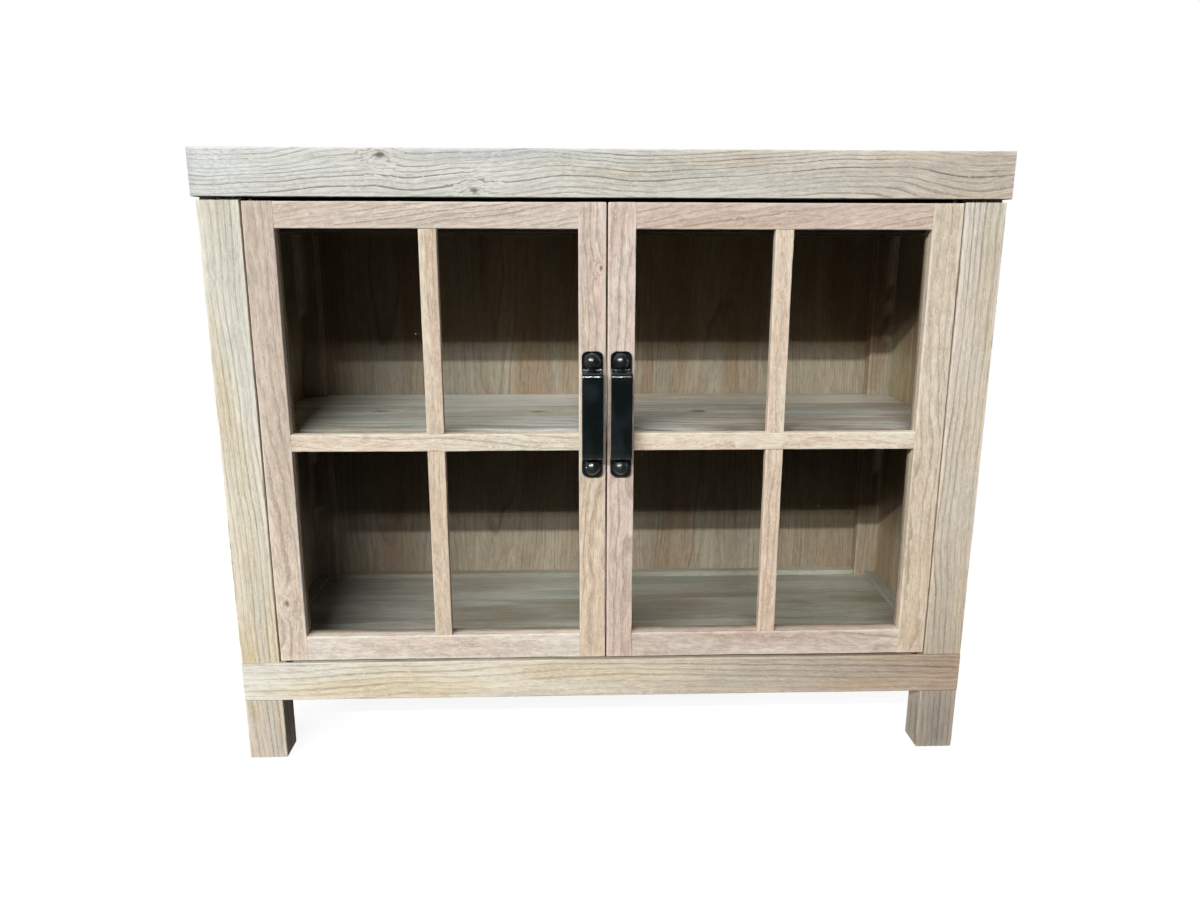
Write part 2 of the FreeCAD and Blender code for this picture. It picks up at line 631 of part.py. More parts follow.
def bushes_at(x):
    """The bushes at the bottom and top of a hinge stile, with the tools for their seats."""
    low, high = DOOR_Z
    lower_end = f"{low} + bush_length"
    upper_start = f"{high} - bush_length"
    bushes = []
    rooms = []
    for z, room_z in (((low, lower_end), (f"{low} - overrun", lower_end)),
                      ((upper_start, high), (upper_start, f"{high} + overrun"))):
        bore = rod("pin_diameter + 2 * pivot_clearance", x, PIVOT_Y, grown(z, "overrun"))
        bushes.append(less(rod("bush_diameter", x, PIVOT_Y, z), bore))
        rooms.append(rod("bush_diameter + 2 * joint_clearance", x, PIVOT_Y, room_z))
    return bushes, rooms


def bolts_at(x):
    """The two dome-headed bolts of a handle, with the tools for their holes."""
    bolts = []
    holes = []
    radius = "((dome_diameter / 2) * (dome_diameter / 2) + dome_height * dome_height) / (2 * dome_height)"
    strap_front = behind("-handle_thickness")
    crown = f"{strap_front} - dome_height"
    for z in (f"{HANDLE_Z[0]} + bolt_inset", f"{HANDLE_Z[1]} - bolt_inset"):
        ball = doc.addObject("Part::Sphere", "ball")
        ball.setExpression("Radius", bound(radius))
        for axis, place in (("x", x), ("y", f"{crown} + {radius}"), ("z", z)):
            ball.setExpression(f"Placement.Base.{axis}", bound(place))
        dome = doc.addObject("Part::Common", "dome")
        dome.Base = ball
        dome.Tool = rod("dome_diameter", x, (crown, strap_front), z)
        shank_y = (f"{strap_front} - dome_height / 2", behind("bolt_grip"))
        bolts.append(joined(dome, rod("bolt_diameter", x, shank_y, z)))
        holes.append(rod("bolt_diameter + 2 * joint_clearance", x,
                         (behind("-handle_reach"), f"{shank_y[1]} + socket_relief"), z))
    return bolts, holes


def strap(x):
    """A flat iron strap bent out from two flat ends to a straight grip."""
    foot, top = HANDLE_Z
    front = behind("-handle_reach")
    flat = behind("-handle_thickness")
    inner = f"{front} + handle_thickness"
    rise = "flange_length + riser_slant"
    corners = [
        (FACE, top), (flat, top), (flat, f"{top} - flange_length"), (front, f"{top} - ({rise})"),
        (front, f"{foot} + {rise}"), (flat, f"{foot} + flange_length"), (flat, foot), (FACE, foot),
        (FACE, f"{foot} + flange_length + handle_thickness"),
        (inner, f"{foot} + {rise} + handle_thickness"),
        (inner, f"{top} - ({rise} + handle_thickness)"),
        (FACE, f"{top} - (flange_length + handle_thickness)"),
    ]
    body = doc.addObject("PartDesign::Body", "Strap")
    pad = padded(body, sketched(body, "YZ_Plane", x, corners), "handle_width", both_ways=True)
    box = pad.Shape.BoundBox
    ends = rounded(body, pad, parallel_edges(pad.Shape, "y"), "handle_corner")
    inside = bend_edges(ends.Shape, box, outer=False)
    bent = rounded(body, ends, inside, "bend_radius")
    outside = bend_edges(bent.Shape, box, outer=True)
    rounded(body, bent, outside, "bend_radius + handle_thickness")
    return body


def bend_edges(shape, box, outer):
    """The edges along the bends: the outer ones lie on the strap's front or back plane."""
    numbers = []
    reach = sheet.flange_length / 2
    for number in parallel_edges(shape, "x"):
        place = shape.Edges[number - 1].CenterOfMass
        on_plane = min(abs(place.y - box.YMin), abs(place.y - box.YMax)) < sheet.handle_thickness / 2
        at_end = min(abs(place.z - box.ZMin), abs(place.z - box.ZMax)) < reach
        if on_plane == outer and not at_end:
            numbers.append(number)
    return numbers


build_carcass()
build_door("left")
build_door("right")
doc.recompute()

for feature in doc.Objects:
    if "Invalid" in feature.State or "Error" in feature.State:
        raise RuntimeError(f"{feature.Name} ({feature.Label}) failed: {feature.State}")
for finished in PIECES:
    if finished.Shape.isNull() or not finished.Shape.isValid():
        raise RuntimeError(f"{finished.Label} has no valid shape")

os.makedirs("parts", exist_ok=True)
for finished in PIECES:
    finished.Shape.exportStep(f"parts/{finished.Label}.step")
print(len(PIECES), "pieces written")
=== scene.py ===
import math
import zlib

import bmesh
import bpy
import numpy as np
from mathutils import Matrix, Vector


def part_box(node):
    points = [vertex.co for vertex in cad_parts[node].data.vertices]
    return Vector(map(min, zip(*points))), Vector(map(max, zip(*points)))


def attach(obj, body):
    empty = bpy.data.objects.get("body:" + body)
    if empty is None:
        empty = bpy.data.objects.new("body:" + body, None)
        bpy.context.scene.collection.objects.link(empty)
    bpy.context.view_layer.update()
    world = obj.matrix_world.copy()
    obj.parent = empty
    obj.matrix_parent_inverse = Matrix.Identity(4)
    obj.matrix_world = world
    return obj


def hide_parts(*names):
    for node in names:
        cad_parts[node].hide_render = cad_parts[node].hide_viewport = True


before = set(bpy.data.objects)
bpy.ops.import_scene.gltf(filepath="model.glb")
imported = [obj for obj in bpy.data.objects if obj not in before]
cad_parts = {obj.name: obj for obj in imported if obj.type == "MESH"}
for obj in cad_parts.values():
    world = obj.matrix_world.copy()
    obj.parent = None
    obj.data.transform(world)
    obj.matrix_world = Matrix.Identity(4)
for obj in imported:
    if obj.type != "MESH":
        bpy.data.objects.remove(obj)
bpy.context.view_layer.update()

bl_info = {
    "name": "Glazed sideboard",
    "version": (1, 0, 0),
    "blender": (4, 5, 0),
    "location": "View3D > Sidebar > Sideboard",
    "description": "Dresses the packed sideboard in worn boards, glass and black iron, on a pale stage",
    "category": "Object",
}

MM = 0.001
SIDES = ("left", "right")
INWARDS = {"left": 1, "right": -1}
X, Y, Z = range(3)


def tone(red, green, blue):
    """A colour written in display values from 0 to 255, as scene linear values."""
    shares = np.array((red, green, blue)) / 255
    return tuple(np.where(shares <= 0.04045, shares / 12.92, ((shares + 0.055) / 1.055) ** 2.4).tolist())


# Settings

def colour(name, description, default):
    return bpy.props.FloatVectorProperty(
        name=name, description=description, default=default, size=3, subtype="COLOR", min=0, max=1)


def length(name, description, default):
    return bpy.props.FloatProperty(
        name=name, description=description, default=default, min=0, subtype="DISTANCE", unit="LENGTH")


def share(name, description, default):
    return bpy.props.FloatProperty(
        name=name, description=description, default=default, min=0, max=1, subtype="FACTOR")


class BoardSettings(bpy.types.PropertyGroup):
    """How the boards were worked and how they have worn."""

    ease: length("Eased edge", "Radius of a board's long edges where least worn", 0.9 * MM)
    worn: length("Edge wear", "How much wear adds to that radius at most", 1.3 * MM)
    dent: length("Dents", "How much a knock adds to that radius", 1.6 * MM)
    wander: length("Wander", "How far a hand-planed face runs in from true", 0.35 * MM)
    step: length("Point spacing", "Distance between rows of points along a board", 12 * MM)


WOOD_PAINTS = {"Pale": "Early wood", "Warm": "Warm patches", "Cool": "Greyed patches", "Line": "Late wood"}
WOODS = {
    # one colour for each paint, in display values
    "top": ((219, 217, 207), (208, 199, 184), (206, 207, 201), (112, 106, 94)),
    "post": ((224, 217, 198), (212, 199, 169), (208, 205, 191), (150, 136, 106)),
    "door": ((220, 206, 190), (206, 182, 163), (209, 195, 178), (155, 132, 113)),
    "inner": ((177, 164, 144), (161, 141, 118), (165, 157, 141), (101, 86, 66)),
    "shelf": ((236, 234, 224), (198, 186, 166), (196, 197, 188), (118, 110, 95)),
}


class WoodSettings(bpy.types.PropertyGroup):
    """The woods' colours."""

    __annotations__ = {
        f"{kind}_{paint.lower()}": colour(f"{kind}, {paint}".capitalize(), f"{meaning} of this kind", tone(*shade))
        for kind, shades in WOODS.items() for (paint, meaning), shade in zip(WOOD_PAINTS.items(), shades)}


class FittingSettings(bpy.types.PropertyGroup):
    """Glass and metal."""

    glass: colour("Glass", "Tint of the panes", (0.985, 0.99, 0.985))
    iron: colour("Iron", "Lacquered iron of the handles", (0.0062, 0.0088, 0.0094))
    brass: colour("Brass", "Pivot bushes", (0.55, 0.38, 0.15))
    steel: colour("Steel", "Pins, screws and catches", (0.16, 0.16, 0.165))


class StageSettings(bpy.types.PropertyGroup):
    """Lamps, floor and camera."""

    key: bpy.props.FloatProperty(
        name="Key lamps", description="Power of the higher of the two long lamps in front", default=882, min=0,
        subtype="POWER", unit="POWER")
    fill: bpy.props.FloatProperty(
        name="Fill lamps", description="Power of each lamp at the sides and behind", default=110, min=0,
        subtype="POWER", unit="POWER")
    dim: share("Front of the room", "Light from the room in front", 0.006)
    bright: share("Back of the room", "Light from the room behind", 0.30)
    floor: colour("Floor", "What the floor throws back", (0.16, 0.16, 0.16))
    lens: bpy.props.FloatProperty(
        name="Lens", description="Focal length on a 36 mm wide picture", default=26.0, min=1,
        subtype="DISTANCE_CAMERA", unit="CAMERA")


class SideboardSettings(bpy.types.PropertyGroup):
    """All that may be changed before the pieces are made."""

    boards: bpy.props.PointerProperty(type=BoardSettings)
    woods: bpy.props.PointerProperty(type=WoodSettings)
    fittings: bpy.props.PointerProperty(type=FittingSettings)
    stage: bpy.props.PointerProperty(type=StageSettings)


def settings():
    return bpy.context.scene.sideboard


# Node wiring

class Wiring:
    """Short words for adding nodes to one tree."""

    def __init__(self, tree):
        self.tree = tree

    def node(self, kind, feeds=(), **traits):
        """Adds a node. feeds maps an input's name or place to a socket or a plain value."""
        made = self.tree.nodes.new(kind)
        for trait, value in traits.items():
            setattr(made, trait, value)
        self.feed(made, feeds)
        return made

    def feed(self, node, feeds):
        for key, feed in dict(feeds).items():
            if isinstance(feed, bpy.types.NodeSocket):
                self.tree.links.new(feed, node.inputs[key])
            else:
                node.inputs[key].default_value = feed

    def spot(self):
        """The place on the object."""
        return self.node("ShaderNodeTexCoord").outputs["Object"]

    def bump(self, height, depth, strength):
        feeds = {"Height": height, "Distance": depth, "Strength": strength}
        return self.node("ShaderNodeBump", feeds).outputs[0]

    def math(self, operation, *feeds, clamp=False):
        return self.node("ShaderNodeMath", enumerate(feeds), operation=operation, use_clamp=clamp).outputs[0]

    def vector(self, operation, *feeds):
        made = self.node("ShaderNodeVectorMath", enumerate(feeds), operation=operation)
        return made.outputs["Value" if operation in ("LENGTH", "DOT_PRODUCT") else "Vector"]

    def noise(self, place, stretch, detail=2.0, roughness=0.5, out="Fac"):
        """Noise on a place whose axes are stretched, in lumps per metre."""
        made = self.node("ShaderNodeTexNoise", {
            "Vector": self.vector("MULTIPLY", place, stretch), "Scale": 1.0, "Detail": detail,
            "Roughness": roughness})
        return made.outputs[out]

    def ease(self, value, start, end, low=0.0, high=1.0):
        """Smooth passage from low to high as value goes from start to end."""
        return self.node("ShaderNodeMapRange", {
            "Value": value, "From Min": start, "From Max": end, "To Min": low, "To Max": high},
            interpolation_type="SMOOTHSTEP").outputs[0]

    def blend(self, factor, first, second):
        """Two colours mixed by a factor."""
        feeds = {0: factor, 6: first, 7: second}
        return self.node("ShaderNodeMix", feeds, data_type="RGBA", clamp_factor=True).outputs[2]

    def looked_at(self, mirrored=0.0):
        """1 where the camera sees a thing, straight or through glass, and a given share of that in a mirror.
        Light that has already left a matt surface does not count."""
        path = self.node("ShaderNodeLightPath").outputs
        first = self.math("LESS_THAN", path["Diffuse Depth"], 0.5)
        through = self.math("MULTIPLY", path["Is Transmission Ray"], first)
        glint = self.math("MULTIPLY", self.math("MULTIPLY", path["Is Glossy Ray"], first), mirrored)
        return self.math("MAXIMUM", self.math("MAXIMUM", path["Is Camera Ray"], through), glint)

    def scaled(self, paint, by):
        """A colour multiplied by one number."""
        plain = paint if isinstance(paint, bpy.types.NodeSocket) else tuple(paint)[:3]
        return self.node("ShaderNodeVectorMath", {0: plain, "Scale": by}, operation="SCALE").outputs[0]


def rgba(paint):
    return (*paint, 1.0)


# Wood

KNOT_CELL = (0.30, 0.075, 0.075)
KNOT_SHAPE = (0.7, 1.0, 1.0)
KNOT_SPAN = 0.024
KNOT_HUE = (1.05, 0.88, 0.72)
PALEST = (0.84, 0.84, 0.82)
WOOD_RELIEF = 0.5 * MM

WOOD_PLACES = ("Grain", "Tint", "Knot")
POINT_AMOUNTS = ("Wear", "Knot size")
KIND_AMOUNTS = ("Ring gap", "Sway", "Curl", "Lines", "Streaks", "Mottle", "Flecks", "Pores", "Knots")
WOOD_KINDS = {
    # ring gap, sway and curl in metres, then the strength of lines, streaks, mottle, flecks, pores, stray knots
    "top": (0.0062, 0.060, 0.0040, 1.00, 0.30, 0.32, 0.60, 0.20, 0.06),
    "post": (0.0080, 0.030, 0.0030, 0.90, 0.40, 0.30, 0.50, 0.20, 0.03),
    "apron": (0.0080, 0.030, 0.0030, 0.68, 0.36, 0.30, 0.50, 0.20, 0.03),
    "door": (0.0072, 0.034, 0.0085, 0.70, 0.32, 0.75, 0.70, 0.26, 0.08),
    "inner": (0.0050, 0.022, 0.0030, 0.55, 0.45, 0.28, 0.20, 0.26, 0.05),
    "shelf": (0.0090, 0.030, 0.0030, 0.80, 0.60, 0.20, 0.20, 0.25, 0.10),
    "deck": (0.0090, 0.030, 0.0030, 0.30, 0.28, 0.15, 0.10, 0.20, 0.05),
}
PAINTED_AS = {"deck": "shelf", "apron": "post"}
WOOD_NOISES = {
    # lumps per metre along and across the grain, detail, roughness
    "sway": (2.3, 5, 1.0, 0.5),
    "wave": (6.5, 11, 1.0, 0.5),
    "curl": (19, 44, 2.0, 0.5),
    "ragged": (90, 240, 2.0, 0.5),
    "crowd": (0.7, 22, 1.0, 0.5),
    "fade": (4, 30, 2.0, 0.5),
    "fibre": (26, 850, 3.0, 0.6),
    "streak": (1.4, 130, 2.0, 0.55),
    "pore": (70, 520, 1.0, 0.5),
    "fleck": (210, 560, 2.0, 0.6),
    "mottle": (48, 120, 3.0, 0.6),
    "patch": (3, 17, 3.0, 0.55),
    "chill": (2.1, 21, 2.0, 0.5),
    "rub": (45, 160, 2.0, 0.5),
}
# how much each kind mirrors, and how rough it is at least
WOOD_POLISH = {"shelf": (0.6, 0.42), "deck": (0.6, 0.42)}
MATT = (0.25, 0.68)


def wood_group():
    """Sawn, bleached wood as a solid. Grain is a place in the log: x along it, y and z from its heart.
    Growth rings are the distance from the heart divided by the ring gap, after a slow sway, a small curl and
    a swelling round each knot. Each ring darkens slowly and ends sharply. Fibres, streaks, pores and flecks
    are noise drawn out along x."""
    name = "Aged wood"
    if name in bpy.data.node_groups:
        return bpy.data.node_groups[name]
    tree = bpy.data.node_groups.new(name, "ShaderNodeTree")
    for labels, kind in ((WOOD_PLACES, "NodeSocketVector"), (WOOD_PAINTS, "NodeSocketColor"),
                         (POINT_AMOUNTS + KIND_AMOUNTS, "NodeSocketFloat")):
        for label in labels:
            tree.interface.new_socket(label, in_out="INPUT", socket_type=kind)
    for label, kind in (("Color", "NodeSocketColor"), ("Roughness", "NodeSocketFloat"),
                        ("Height", "NodeSocketFloat")):
        tree.interface.new_socket(label, in_out="OUTPUT", socket_type=kind)
    w = Wiring(tree)
    given = w.node("NodeGroupInput").outputs
    place = given["Grain"]

    def lumps(noise, at=place, out="Fac"):
        along, across, detail, roughness = WOOD_NOISES[noise]
        return w.noise(at, (along, across, across), detail, roughness, out)

    sway, wave, curl = (w.vector("SUBTRACT", lumps(noise, out="Color"), (0.5, 0.5, 0.5))
                        for noise in ("sway", "wave", "curl"))
    slow = w.scaled(w.vector("ADD", sway, w.scaled(wave, 0.4)), given["Sway"])
    shift = w.vector("ADD", slow, w.scaled(curl, given["Curl"]))
    bent = w.vector("ADD", place, w.vector("MULTIPLY", shift, (0, 1, 1)))

    cell = w.vector("DIVIDE", place, KNOT_CELL)
    cells = w.node("ShaderNodeTexVoronoi", {"Vector": cell, "Scale": 1.0})
    off = w.vector("MULTIPLY", w.vector("SUBTRACT", cell, cells.outputs["Position"]), KNOT_CELL)
    chance = w.node("ShaderNodeSeparateColor", {0: cells.outputs["Color"]}).outputs[0]
    size = w.math("SUBTRACT", w.math("ADD", chance, given["Knots"]), 1.0, clamp=True)
    stray = knot_reach(w, off, w.math("MULTIPLY", size, KNOT_SPAN))
    own = knot_reach(w, w.vector("SUBTRACT", place, given["Knot"]), given["Knot size"])
    ragged = w.ease(lumps("ragged"), 0.25, 0.75, 0.7, 1.45)
    reach = w.math("MULTIPLY", w.math("MINIMUM", stray, own), ragged)
    swell = w.math("EXPONENT", w.math("MULTIPLY", w.math("MULTIPLY", reach, reach), -0.16))
    knot = w.ease(reach, 1.15, 0.3)

    radius = w.vector("LENGTH", w.vector("MULTIPLY", bent, (0, 1, 1)))
    turns = w.math("ADD", w.math("DIVIDE", radius, given["Ring gap"]), w.math("MULTIPLY", lumps("crowd"), 2.2))
    turns = w.math("ADD", turns, w.math("MULTIPLY", swell, 1.8))
    chosen = w.node("ShaderNodeTexWhiteNoise", {"W": w.math("FLOOR", turns)}, noise_dimensions="1D")
    part = w.math("FRACT", turns)
    late = w.math("MULTIPLY", w.ease(part, 0.55, 0.9), w.ease(part, 1.0, 0.95))
    fade = w.ease(lumps("fade"), 0.3, 0.62, 0.3, 1.0)
    strength = w.math("MULTIPLY_ADD", chosen.outputs["Value"], 0.7, 0.3)
    late = w.math("MULTIPLY", late, w.math("MULTIPLY", strength, fade))

    fibre = lumps("fibre", bent)
    pore = w.ease(lumps("pore", bent), 0.57, 0.68)
    fleck = w.ease(lumps("fleck"), 0.54, 0.7)
    patch = w.ease(lumps("patch"), 0.38, 0.64)
    chill = w.ease(lumps("chill"), 0.45, 0.7)

    paint = w.blend(patch, given["Pale"], given["Warm"])
    paint = w.blend(chill, paint, given["Cool"])
    paint = w.scaled(paint, swing(w, lumps("streak", bent), given["Streaks"]))
    paint = w.scaled(paint, swing(w, lumps("mottle"), given["Mottle"]))
    paint = w.blend(w.math("MULTIPLY", late, given["Lines"]), paint, given["Line"])
    paint = w.scaled(paint, swing(w, fibre, 0.95))
    paint = w.blend(w.math("MULTIPLY", pore, given["Pores"]), paint, w.scaled(given["Line"], 0.8))
    paint = w.blend(w.math("MULTIPLY", fleck, given["Flecks"]), paint, w.scaled(given["Pale"], 1.12))
    heart = w.vector("MULTIPLY", w.scaled(given["Line"], w.ease(reach, 0.0, 0.9, 0.3, 0.8)), KNOT_HUE)
    paint = w.blend(w.math("MULTIPLY", knot, 0.75), paint, heart)
    rubbed = w.math("MULTIPLY", given["Wear"], w.ease(lumps("rub"), 0.32, 0.62, 0.2, 1.0))
    paint = w.blend(w.math("MULTIPLY", rubbed, 0.75), paint, w.scaled(given["Pale"], 1.15))
    paint = w.vector("MINIMUM", w.vector("MULTIPLY", paint, given["Tint"]), PALEST)

    rough = w.math("SUBTRACT", w.math("MULTIPLY", fibre, 0.16), w.math("MULTIPLY", late, 0.08))
    height = w.math("MULTIPLY_ADD", late, 0.35, w.math("MULTIPLY", fibre, 0.45))
    height = w.math("SUBTRACT", height, w.math("MULTIPLY", pore, 0.35))
    height = w.math("SUBTRACT", height, w.math("MULTIPLY", knot, 0.3))
    w.node("NodeGroupOutput", {"Color": paint, "Roughness": rough, "Height": height})
    return tree


def knot_reach(w, off, size):
    """Distance from a knot in units of its size, shorter along the grain."""
    return w.math("DIVIDE", w.vector("LENGTH", w.vector("MULTIPLY", off, KNOT_SHAPE)), w.math("ADD", size, 0.0001))


def swing(w, noise, by):
    """A factor round 1 that follows a noise."""
    return w.math("MULTIPLY_ADD", w.math("SUBTRACT", noise, 0.5), by, 1.0)


TURN_TO_GRAIN = {X: (0, 0, 0), Y: (0, 0, -math.pi / 2), Z: (0, math.pi / 2, 0)}
SOLID_OFFSET = (3.1, 0.07, 0.11)
# imported solids take one tint all over: the inner rails and the batten are darkened as painted shade, the deck's rails
# greyed like the bottom
SOLID_TINT_AND_PAINTED_SHADE = {"inner": (0.32, 0.29, 0.25), "deck": (0.60, 0.60, 0.57)}


def finish(name, wire, *traits):
    """A material by its name, made and wired when it is first asked for."""
    made = bpy.data.materials.get(name)
    if made is None:
        made = bpy.data.materials.new(name)
        made.use_nodes = True
        wire(Wiring(made.node_tree), made.node_tree.nodes["Principled BSDF"], *traits)
    return made


def wood(kind, grain=None):
    """The finish of one kind of wood, for boards made here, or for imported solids, whose grain axis is given."""
    name = f"{kind}_timber" if grain is None else f"{kind}_timber_along_{'xyz'[grain]}"
    return finish(name, wire_wood, kind, grain)


def wire_wood(w, shader, kind, grain):
    """Boards made here carry their own place in the log and their tint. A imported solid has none, so its place
    comes from its own coordinates, turned to the grain."""
    painted = PAINTED_AS.get(kind, kind)
    feeds = {paint: rgba(getattr(settings().woods, f"{painted}_{paint.lower()}")) for paint in WOOD_PAINTS}
    feeds.update(zip(KIND_AMOUNTS, WOOD_KINDS[kind]))
    if grain is None:
        for labels, out in ((WOOD_PLACES, "Vector"), (POINT_AMOUNTS, "Fac")):
            for label in labels:
                own = label.lower().replace(" ", "_")
                feeds[label] = w.node("ShaderNodeAttribute", attribute_name=own).outputs[out]
    else:
        feeds["Grain"] = w.node("ShaderNodeMapping", {
            "Vector": w.spot(), "Rotation": TURN_TO_GRAIN[grain], "Location": SOLID_OFFSET}).outputs[0]
        feeds["Tint"] = SOLID_TINT_AND_PAINTED_SHADE[kind]
    grown = w.node("ShaderNodeGroup", node_tree=wood_group())
    w.feed(grown, feeds)
    mirror, rough = WOOD_POLISH.get(kind, MATT)
    w.feed(shader, {
        "Base Color": grown.outputs["Color"], "Specular IOR Level": mirror,
        "Roughness": w.math("ADD", grown.outputs["Roughness"], rough),
        "Normal": w.bump(grown.outputs["Height"], WOOD_RELIEF, 0.55)})


# Glass and metal

# what each face of a pane mirrors when looked at straight on
GLEAM = 0.01
DUST_PER_METRE = 38.0
DUST_SIZE = 0.9 * MM
DUST = (0.7, 0.68, 0.63, 1)
# roughness, coat of lacquer and depth of the hammer marks
IRONS = {"strap": (0.1, 0.0, 0.03), "dome": (0.32, 0.5, 0.12)}


def wire_glass(w, shader):
    """Clear sheet glass: light passes straight through, and a thin, faintly smudged mirror lies over it that
    grows towards the edge of sight. A few grains of dust cling to it."""
    w.tree.nodes.remove(shader)
    spot = w.spot()
    smudge = w.ease(w.noise(spot, (7, 7, 5), 4.0, 0.6), 0.45, 0.75, 0.01, 0.09)
    clear = w.node("ShaderNodeBsdfTransparent", {"Color": rgba(settings().fittings.glass)})
    mirror = w.node("ShaderNodeBsdfGlossy", {"Color": (1, 1, 1, 1), "Roughness": smudge})
    slant = w.node("ShaderNodeLayerWeight", {"Blend": 0.5}).outputs["Facing"]
    gleam = w.math("MULTIPLY_ADD", w.math("POWER", slant, 5.0), 1.0 - GLEAM, GLEAM)
    both = w.node("ShaderNodeMixShader", {0: gleam, 1: clear.outputs[0], 2: mirror.outputs[0]})
    grains = w.node("ShaderNodeTexVoronoi", {"Vector": spot, "Scale": DUST_PER_METRE})
    chance = w.node("ShaderNodeSeparateColor", {0: grains.outputs["Color"]}).outputs
    size = w.math("MULTIPLY", w.ease(chance[0], 0.72, 1.0), DUST_SIZE * DUST_PER_METRE)
    speck = w.math("MULTIPLY", w.math("LESS_THAN", grains.outputs["Distance"], size), w.ease(chance[1], 0.0, 1.0))
    dust = w.node("ShaderNodeBsdfDiffuse", {"Color": DUST})
    whole = w.node("ShaderNodeMixShader", {0: speck, 1: both.outputs[0], 2: dust.outputs[0]})
    w.feed(w.tree.nodes["Material Output"], {"Surface": whole.outputs[0]})


def iron(kind):
    return finish(f"lacquered_{kind}", wire_iron, *IRONS[kind])


def wire_iron(w, shader, roughness, coat, marks):
    """Black iron under a coat of lacquer: shallow hammer marks, fine pits and rubbed, duller patches."""
    spot = w.spot()
    hammer = w.noise(spot, (70, 70, 55), 1.0)
    pits = w.noise(spot, (900, 900, 900), 2.0)
    worn = w.ease(w.noise(spot, (40, 40, 22), 3.0, 0.6), 0.4, 0.75)
    dark = rgba(settings().fittings.iron)
    height = w.math("MULTIPLY_ADD", pits, 0.06, hammer)
    w.feed(shader, {
        "Base Color": w.blend(worn, dark, w.scaled(dark, 2.2)), "Normal": w.bump(height, 0.6 * MM, marks),
        "Roughness": w.math("MULTIPLY_ADD", worn, 0.1, roughness), "Specular IOR Level": 1.0,
        "Coat Weight": coat, "Coat Roughness": 0.1})


def wire_turned(w, shader, paint, roughness):
    """Bare metal with fine turning lines and dull patches."""
    spot = w.spot()
    lines = w.noise(spot, (90, 90, 4200), 2.0)
    dull = w.ease(w.noise(spot, (160, 160, 160), 3.0), 0.35, 0.7)
    w.feed(shader, {
        "Base Color": w.blend(dull, rgba(paint), w.scaled(paint, 0.7)), "Normal": w.bump(lines, 0.1 * MM, 0.4),
        "Roughness": w.math("MULTIPLY_ADD", dull, 0.2, roughness), "Metallic": 1.0})


# Surfaces

ARC_STEPS = 3
SUPPORTS = (1.5 * MM, 4.5 * MM)
WEAR_REACH = 4 * MM
MERGE = 2e-6
SHARP = math.radians(42)
SQUARE = 0.2 * MM


class Surface:
    """Points, faces and per-point values of one closed shell."""

    def __init__(self, points, faces, **values):
        self.points = points
        self.faces = faces
        self.values = values


def stack(surfaces):
    """Several shells as one."""
    starts = np.cumsum([0] + [len(s.points) for s in surfaces])
    faces = [[(np.array(face) + start).tolist() for face in s.faces] for s, start in zip(surfaces, starts)]
    values = {key: np.concatenate([s.values[key] for s in surfaces]) for key in surfaces[0].values}
    return Surface(np.concatenate([s.points for s in surfaces]), sum(faces, []), **values)


def tube_faces(rings, around):
    """Quads between neighbouring closed rings, and one face over each end."""
    row = np.arange(rings - 1)[:, None] * around
    here = np.arange(around)[None, :]
    there = (here + 1) % around
    quads = np.stack([row + here, row + there, row + around + there, row + around + here], axis=-1)
    last = (rings - 1) * around
    ends = [list(range(around))[::-1], list(range(last, last + around))]
    return quads.reshape(-1, 4).tolist() + ends


def drift(rng, along, wave):
    """A smooth random line between 0 and 1: three sines of falling length and height, random in phase."""
    waves = wave * np.array((1.0, 0.43, 0.19))
    heights = np.array((0.5, 0.3, 0.2))
    phases = rng.uniform(0, 2 * np.pi, 3)
    return 0.5 + 0.5 * (heights * np.sin(2 * np.pi * along[:, None] / waves + phases)).sum(1)


def knocks(rng, along, count):
    """A few short bumps along an edge, each a bell of random place, width and height."""
    if count == 0:
        return np.zeros_like(along)
    places = rng.uniform(along.min(), along.max(), count)
    widths = rng.uniform(3 * MM, 11 * MM, count)
    heights = rng.uniform(0.3, 1.0, count)
    return (heights * np.exp(-((along[:, None] - places) / widths) ** 2)).sum(1)


def outline(corners, radii, step):
    """Closed cross sections with rounded corners. An arc at a corner c of radius r, between the direction a
    that comes in and the direction b that leaves, is c - a r (1 - sin t) + b r (1 - cos t). Points along each
    side crowd towards its ends. Gives the points and their distance from the nearest corner."""
    leave = np.roll(corners, -1, axis=1) - corners
    spans = np.linalg.norm(leave, axis=2)
    leave = leave / np.maximum(spans, 1e-9)[..., None]
    come = np.roll(leave, 1, axis=1)
    turn = np.linspace(0, np.pi / 2, ARC_STEPS + 1)[:, None]
    r = radii[..., None, None]
    arcs = (corners[:, :, None] - come[:, :, None] * r * (1 - np.sin(turn))
            + leave[:, :, None] * r * (1 - np.cos(turn)))
    points = []
    gaps = []
    for side in range(corners.shape[1]):
        start = arcs[:, side, -1]
        end = arcs[:, (side + 1) % corners.shape[1], 0]
        span = spans[:, side].max()
        near = np.array([0.0] + [d for d in SUPPORTS if d < 0.3 * span]) / span
        middle = np.linspace(near[-1], 1 - near[-1], max(2, math.ceil(span / step)))
        shares = np.unique(np.concatenate([near, middle, 1 - near]).round(6))[1:-1]
        points += [arcs[:, side], start[:, None] + (end - start)[:, None] * shares[:, None]]
        closest = np.minimum(shares, 1 - shares) * np.linalg.norm(end - start, axis=1)[:, None]
        gaps += [np.zeros(arcs[:, side].shape[:2]), closest]
    return np.concatenate(points, axis=1), np.concatenate(gaps, axis=1)


def rectangle(low, high):
    """Four corners of a cross section, turning from the first axis to the second."""
    return np.array([(low[0], low[1]), (high[0], low[1]), (high[0], high[1]), (low[0], high[1])])


